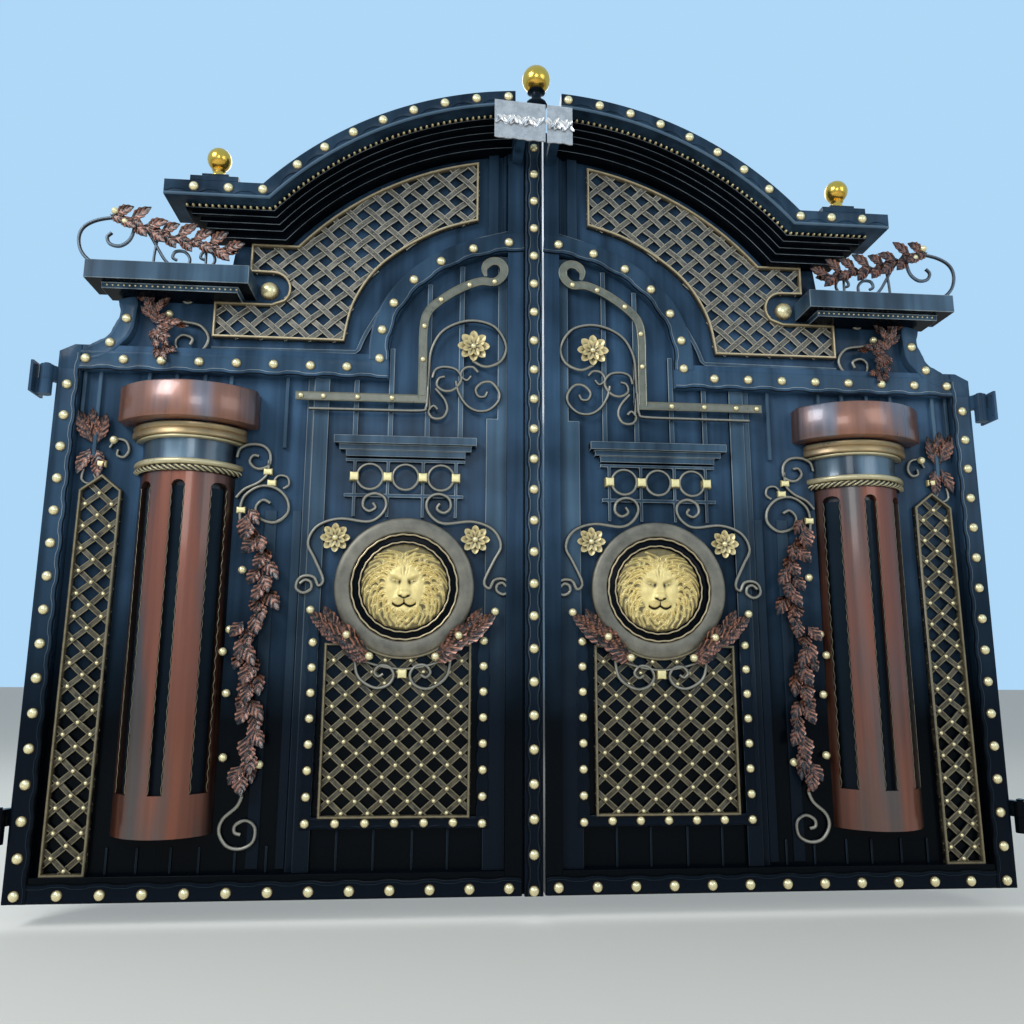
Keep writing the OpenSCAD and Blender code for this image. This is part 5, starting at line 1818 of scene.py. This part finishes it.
class Centre(Ornament):
    """Cover strip over the meeting line, and the ball finial on it."""

    def build(self, side: Side) -> None:
        """Builds both on the leaf that carries them."""
        s = self.sizes
        top = s.crown - 20
        pitch, first = 122.6, 18.5
        middle = np.array([(0.0, 0.0), (0.0, top)])
        shells = [Bands(self.maker, s).strip(middle, 68, pitch, 19, s.panel_y, (0, 0), 50)]
        z = np.arange(4.0, top - 6, 10.2)
        chased = np.array([(-1, -1.2), (-1, 1), (1, 1), (1, -1.2)])
        # along each side a painted shadow line outside and a painted highlight line inside
        for sign in (-1, 1):
            for out, finish, size in ((27, 2, 1.8), (20, 3, 1.0)):
                u = sign * (out - 6 * (1 - wave_top(z - first, pitch)))
                shells.append(swept(joined(u, -5.6, z), chased * (size, 1), tone=0.8, finish=finish))
        shells.append(slab((34, 42), (0, top - 40), s.panel_y, s.panel_y - 14, 1))
        shells.append(domes(joined(0, -5, first + pitch * np.arange(25)), s.stud_r, 13, 1))
        self.maker.piece("cover_strip", shells, side, [BAND_PAINT, BRASS, SHADE_PAINT, HIGHLIGHT_PAINT],
                         ("centre_strip",))
        neck = np.array([(30, 0), (34, 4), (34, 20), (26, 32), (26, 50), (44, 66), (47, 72), (44, 80),
                         (26, 90), (20, 106), (24, 124), (38, 134), (30, 142)]) + (0, top)
        globe = standing_ball(59.5, top + 194, 22)
        self.maker.piece("gold_finial", [upright(-9, -14, neck, 40, 1), upright(-9, -14, globe, 40)], side,
                         [GOLD, SLOT_PAINT], ("ball_finial",))


# Stage

FLOOR = ((-30, -14), (34, -14), (34, 40), (-30, 40))
FLOOR_GAP = 0.085
FLOOR_COLOUR = (0.84, 0.86, 0.82, 1)
SKY_LIGHT = (0.90, 0.95, 1.0, 1)
SKY_SEEN = (0.43, 0.68, 0.93, 1)
# name, place, target, size and power of each lamp
LAMPS = (("key", (-3.2, -4.8, 5.4), (1.7, 0, 1.4), 3.0, 330),
         ("fill", (6.4, -5.0, 3.4), (1.9, 0, 1.3), 3.0, 60),
         ("front", (1.2, -7.5, 3.0), (1.9, 0, 1.3), 2.0, 70),
         ("back", (1.9, 5.0, 5.0), (1.9, 0, 1.6), 4.0, 120))
SENSOR = 36.0
FOCAL_SHARE = 852 / 1024
CAMERA_PLACE = (-355.0, -3236.0, 795.0)
CAMERA_RIGHT = (0.9965, -0.0839, 0.0044)
CAMERA_AHEAD = (0.0817, 0.980, 0.183)


def studio(base_z: float) -> None:
    """Pale floor, soft lamps and a pale world; base_z is the height of the gate's bottom edge."""
    floor = bpy.data.meshes.new("floor")
    floor.from_pydata([(x, y, base_z - FLOOR_GAP) for x, y in FLOOR], [], [(0, 1, 2, 3)])
    pale = bpy.data.materials.new("floor_pale")
    pale.use_nodes = True
    Wiring(pale.node_tree).fill(pale.node_tree.nodes["Principled BSDF"], {"Base Color": FLOOR_COLOUR,
                                                                         "Roughness": 0.9})
    floor.materials.append(pale)
    shown("floor", floor)
    for name, place, target, size, power in LAMPS:
        lamp = bpy.data.lights.new(name, "AREA")
        lamp.shape = "SQUARE"
        lamp.size = size
        lamp.energy = power
        holder = shown(name, lamp)
        holder.location = place
        holder.rotation_euler = (Vector(target) - Vector(place)).to_track_quat("-Z", "Y").to_euler()
    world = bpy.data.worlds.new("studio")
    bpy.context.scene.world = world
    world.use_nodes = True
    wires = Wiring(world.node_tree)
    light = wires.fill(wires.tree.nodes["Background"], {"Color": SKY_LIGHT, "Strength": 0.4})
    seen = wires.node("ShaderNodeBackground", {"Color": SKY_SEEN, "Strength": 1.0})
    path = wires.node("ShaderNodeLightPath").outputs
    sharp = wires.calc("ADD", path["Is Glossy Ray"], path["Is Transmission Ray"])
    direct = wires.calc("ADD", path["Is Camera Ray"], sharp, clamp=True)
    mix = wires.node("ShaderNodeMixShader", {0: direct, 1: light.outputs[0], 2: seen.outputs[0]})
    wires.fill(wires.tree.nodes["World Output"], {"Surface": mix.outputs[0]})
    bpy.context.scene.view_settings.view_transform = "Standard"


def camera(drawing: Drawing) -> None:
    """Sets the photograph's view: low, a little left of the middle, looking up ten degrees."""
    lens = bpy.data.cameras.new("view")
    lens.sensor_width = SENSOR
    lens.lens = FOCAL_SHARE * SENSOR
    ahead = Vector(CAMERA_AHEAD).normalized()
    right = Vector(CAMERA_RIGHT).normalized()
    right = (right - ahead * right.dot(ahead)).normalized()
    turn = Matrix((right, right.cross(ahead), -ahead)).transposed()
    holder = shown("view", lens)
    place = drawing.placed(np.array(CAMERA_PLACE), Side.RIGHT)
    holder.matrix_world = Matrix.Translation(place) @ turn.to_4x4()
    bpy.context.scene.camera = holder


def main() -> None:
    """Builds the gate's pieces in order."""
    logging.basicConfig(level=logging.INFO, format="%(message)s")
    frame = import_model()
    base_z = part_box("left_bottom_rail")[0].z
    low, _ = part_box("left_border_bands")
    _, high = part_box("right_border_bands")
    drawing = Drawing((low.x + high.x) / 2, low.y, base_z)
    maker = Maker(drawing)
    sizes = GateSizes((high.x - low.x) / 2 / MM)
    camera(drawing)
    studio(base_z)
    for side in Side:
        Framing(maker, sizes).build(side)
    for side in Side:
        for part in (Bands, Studs, Cornice, Openings, Column, Medallion, Scrollwork, ShelfScroll, Leaves,
                     GoldBand, Rosettes, Plaque):
            part(maker, sizes).build(side)
    Centre(maker, sizes).build(Side.LEFT)
    LOG.info("%d pieces on %d nodes", len(maker.names), len(frame["nodes"]))


if __name__ == "__main__":
    main()
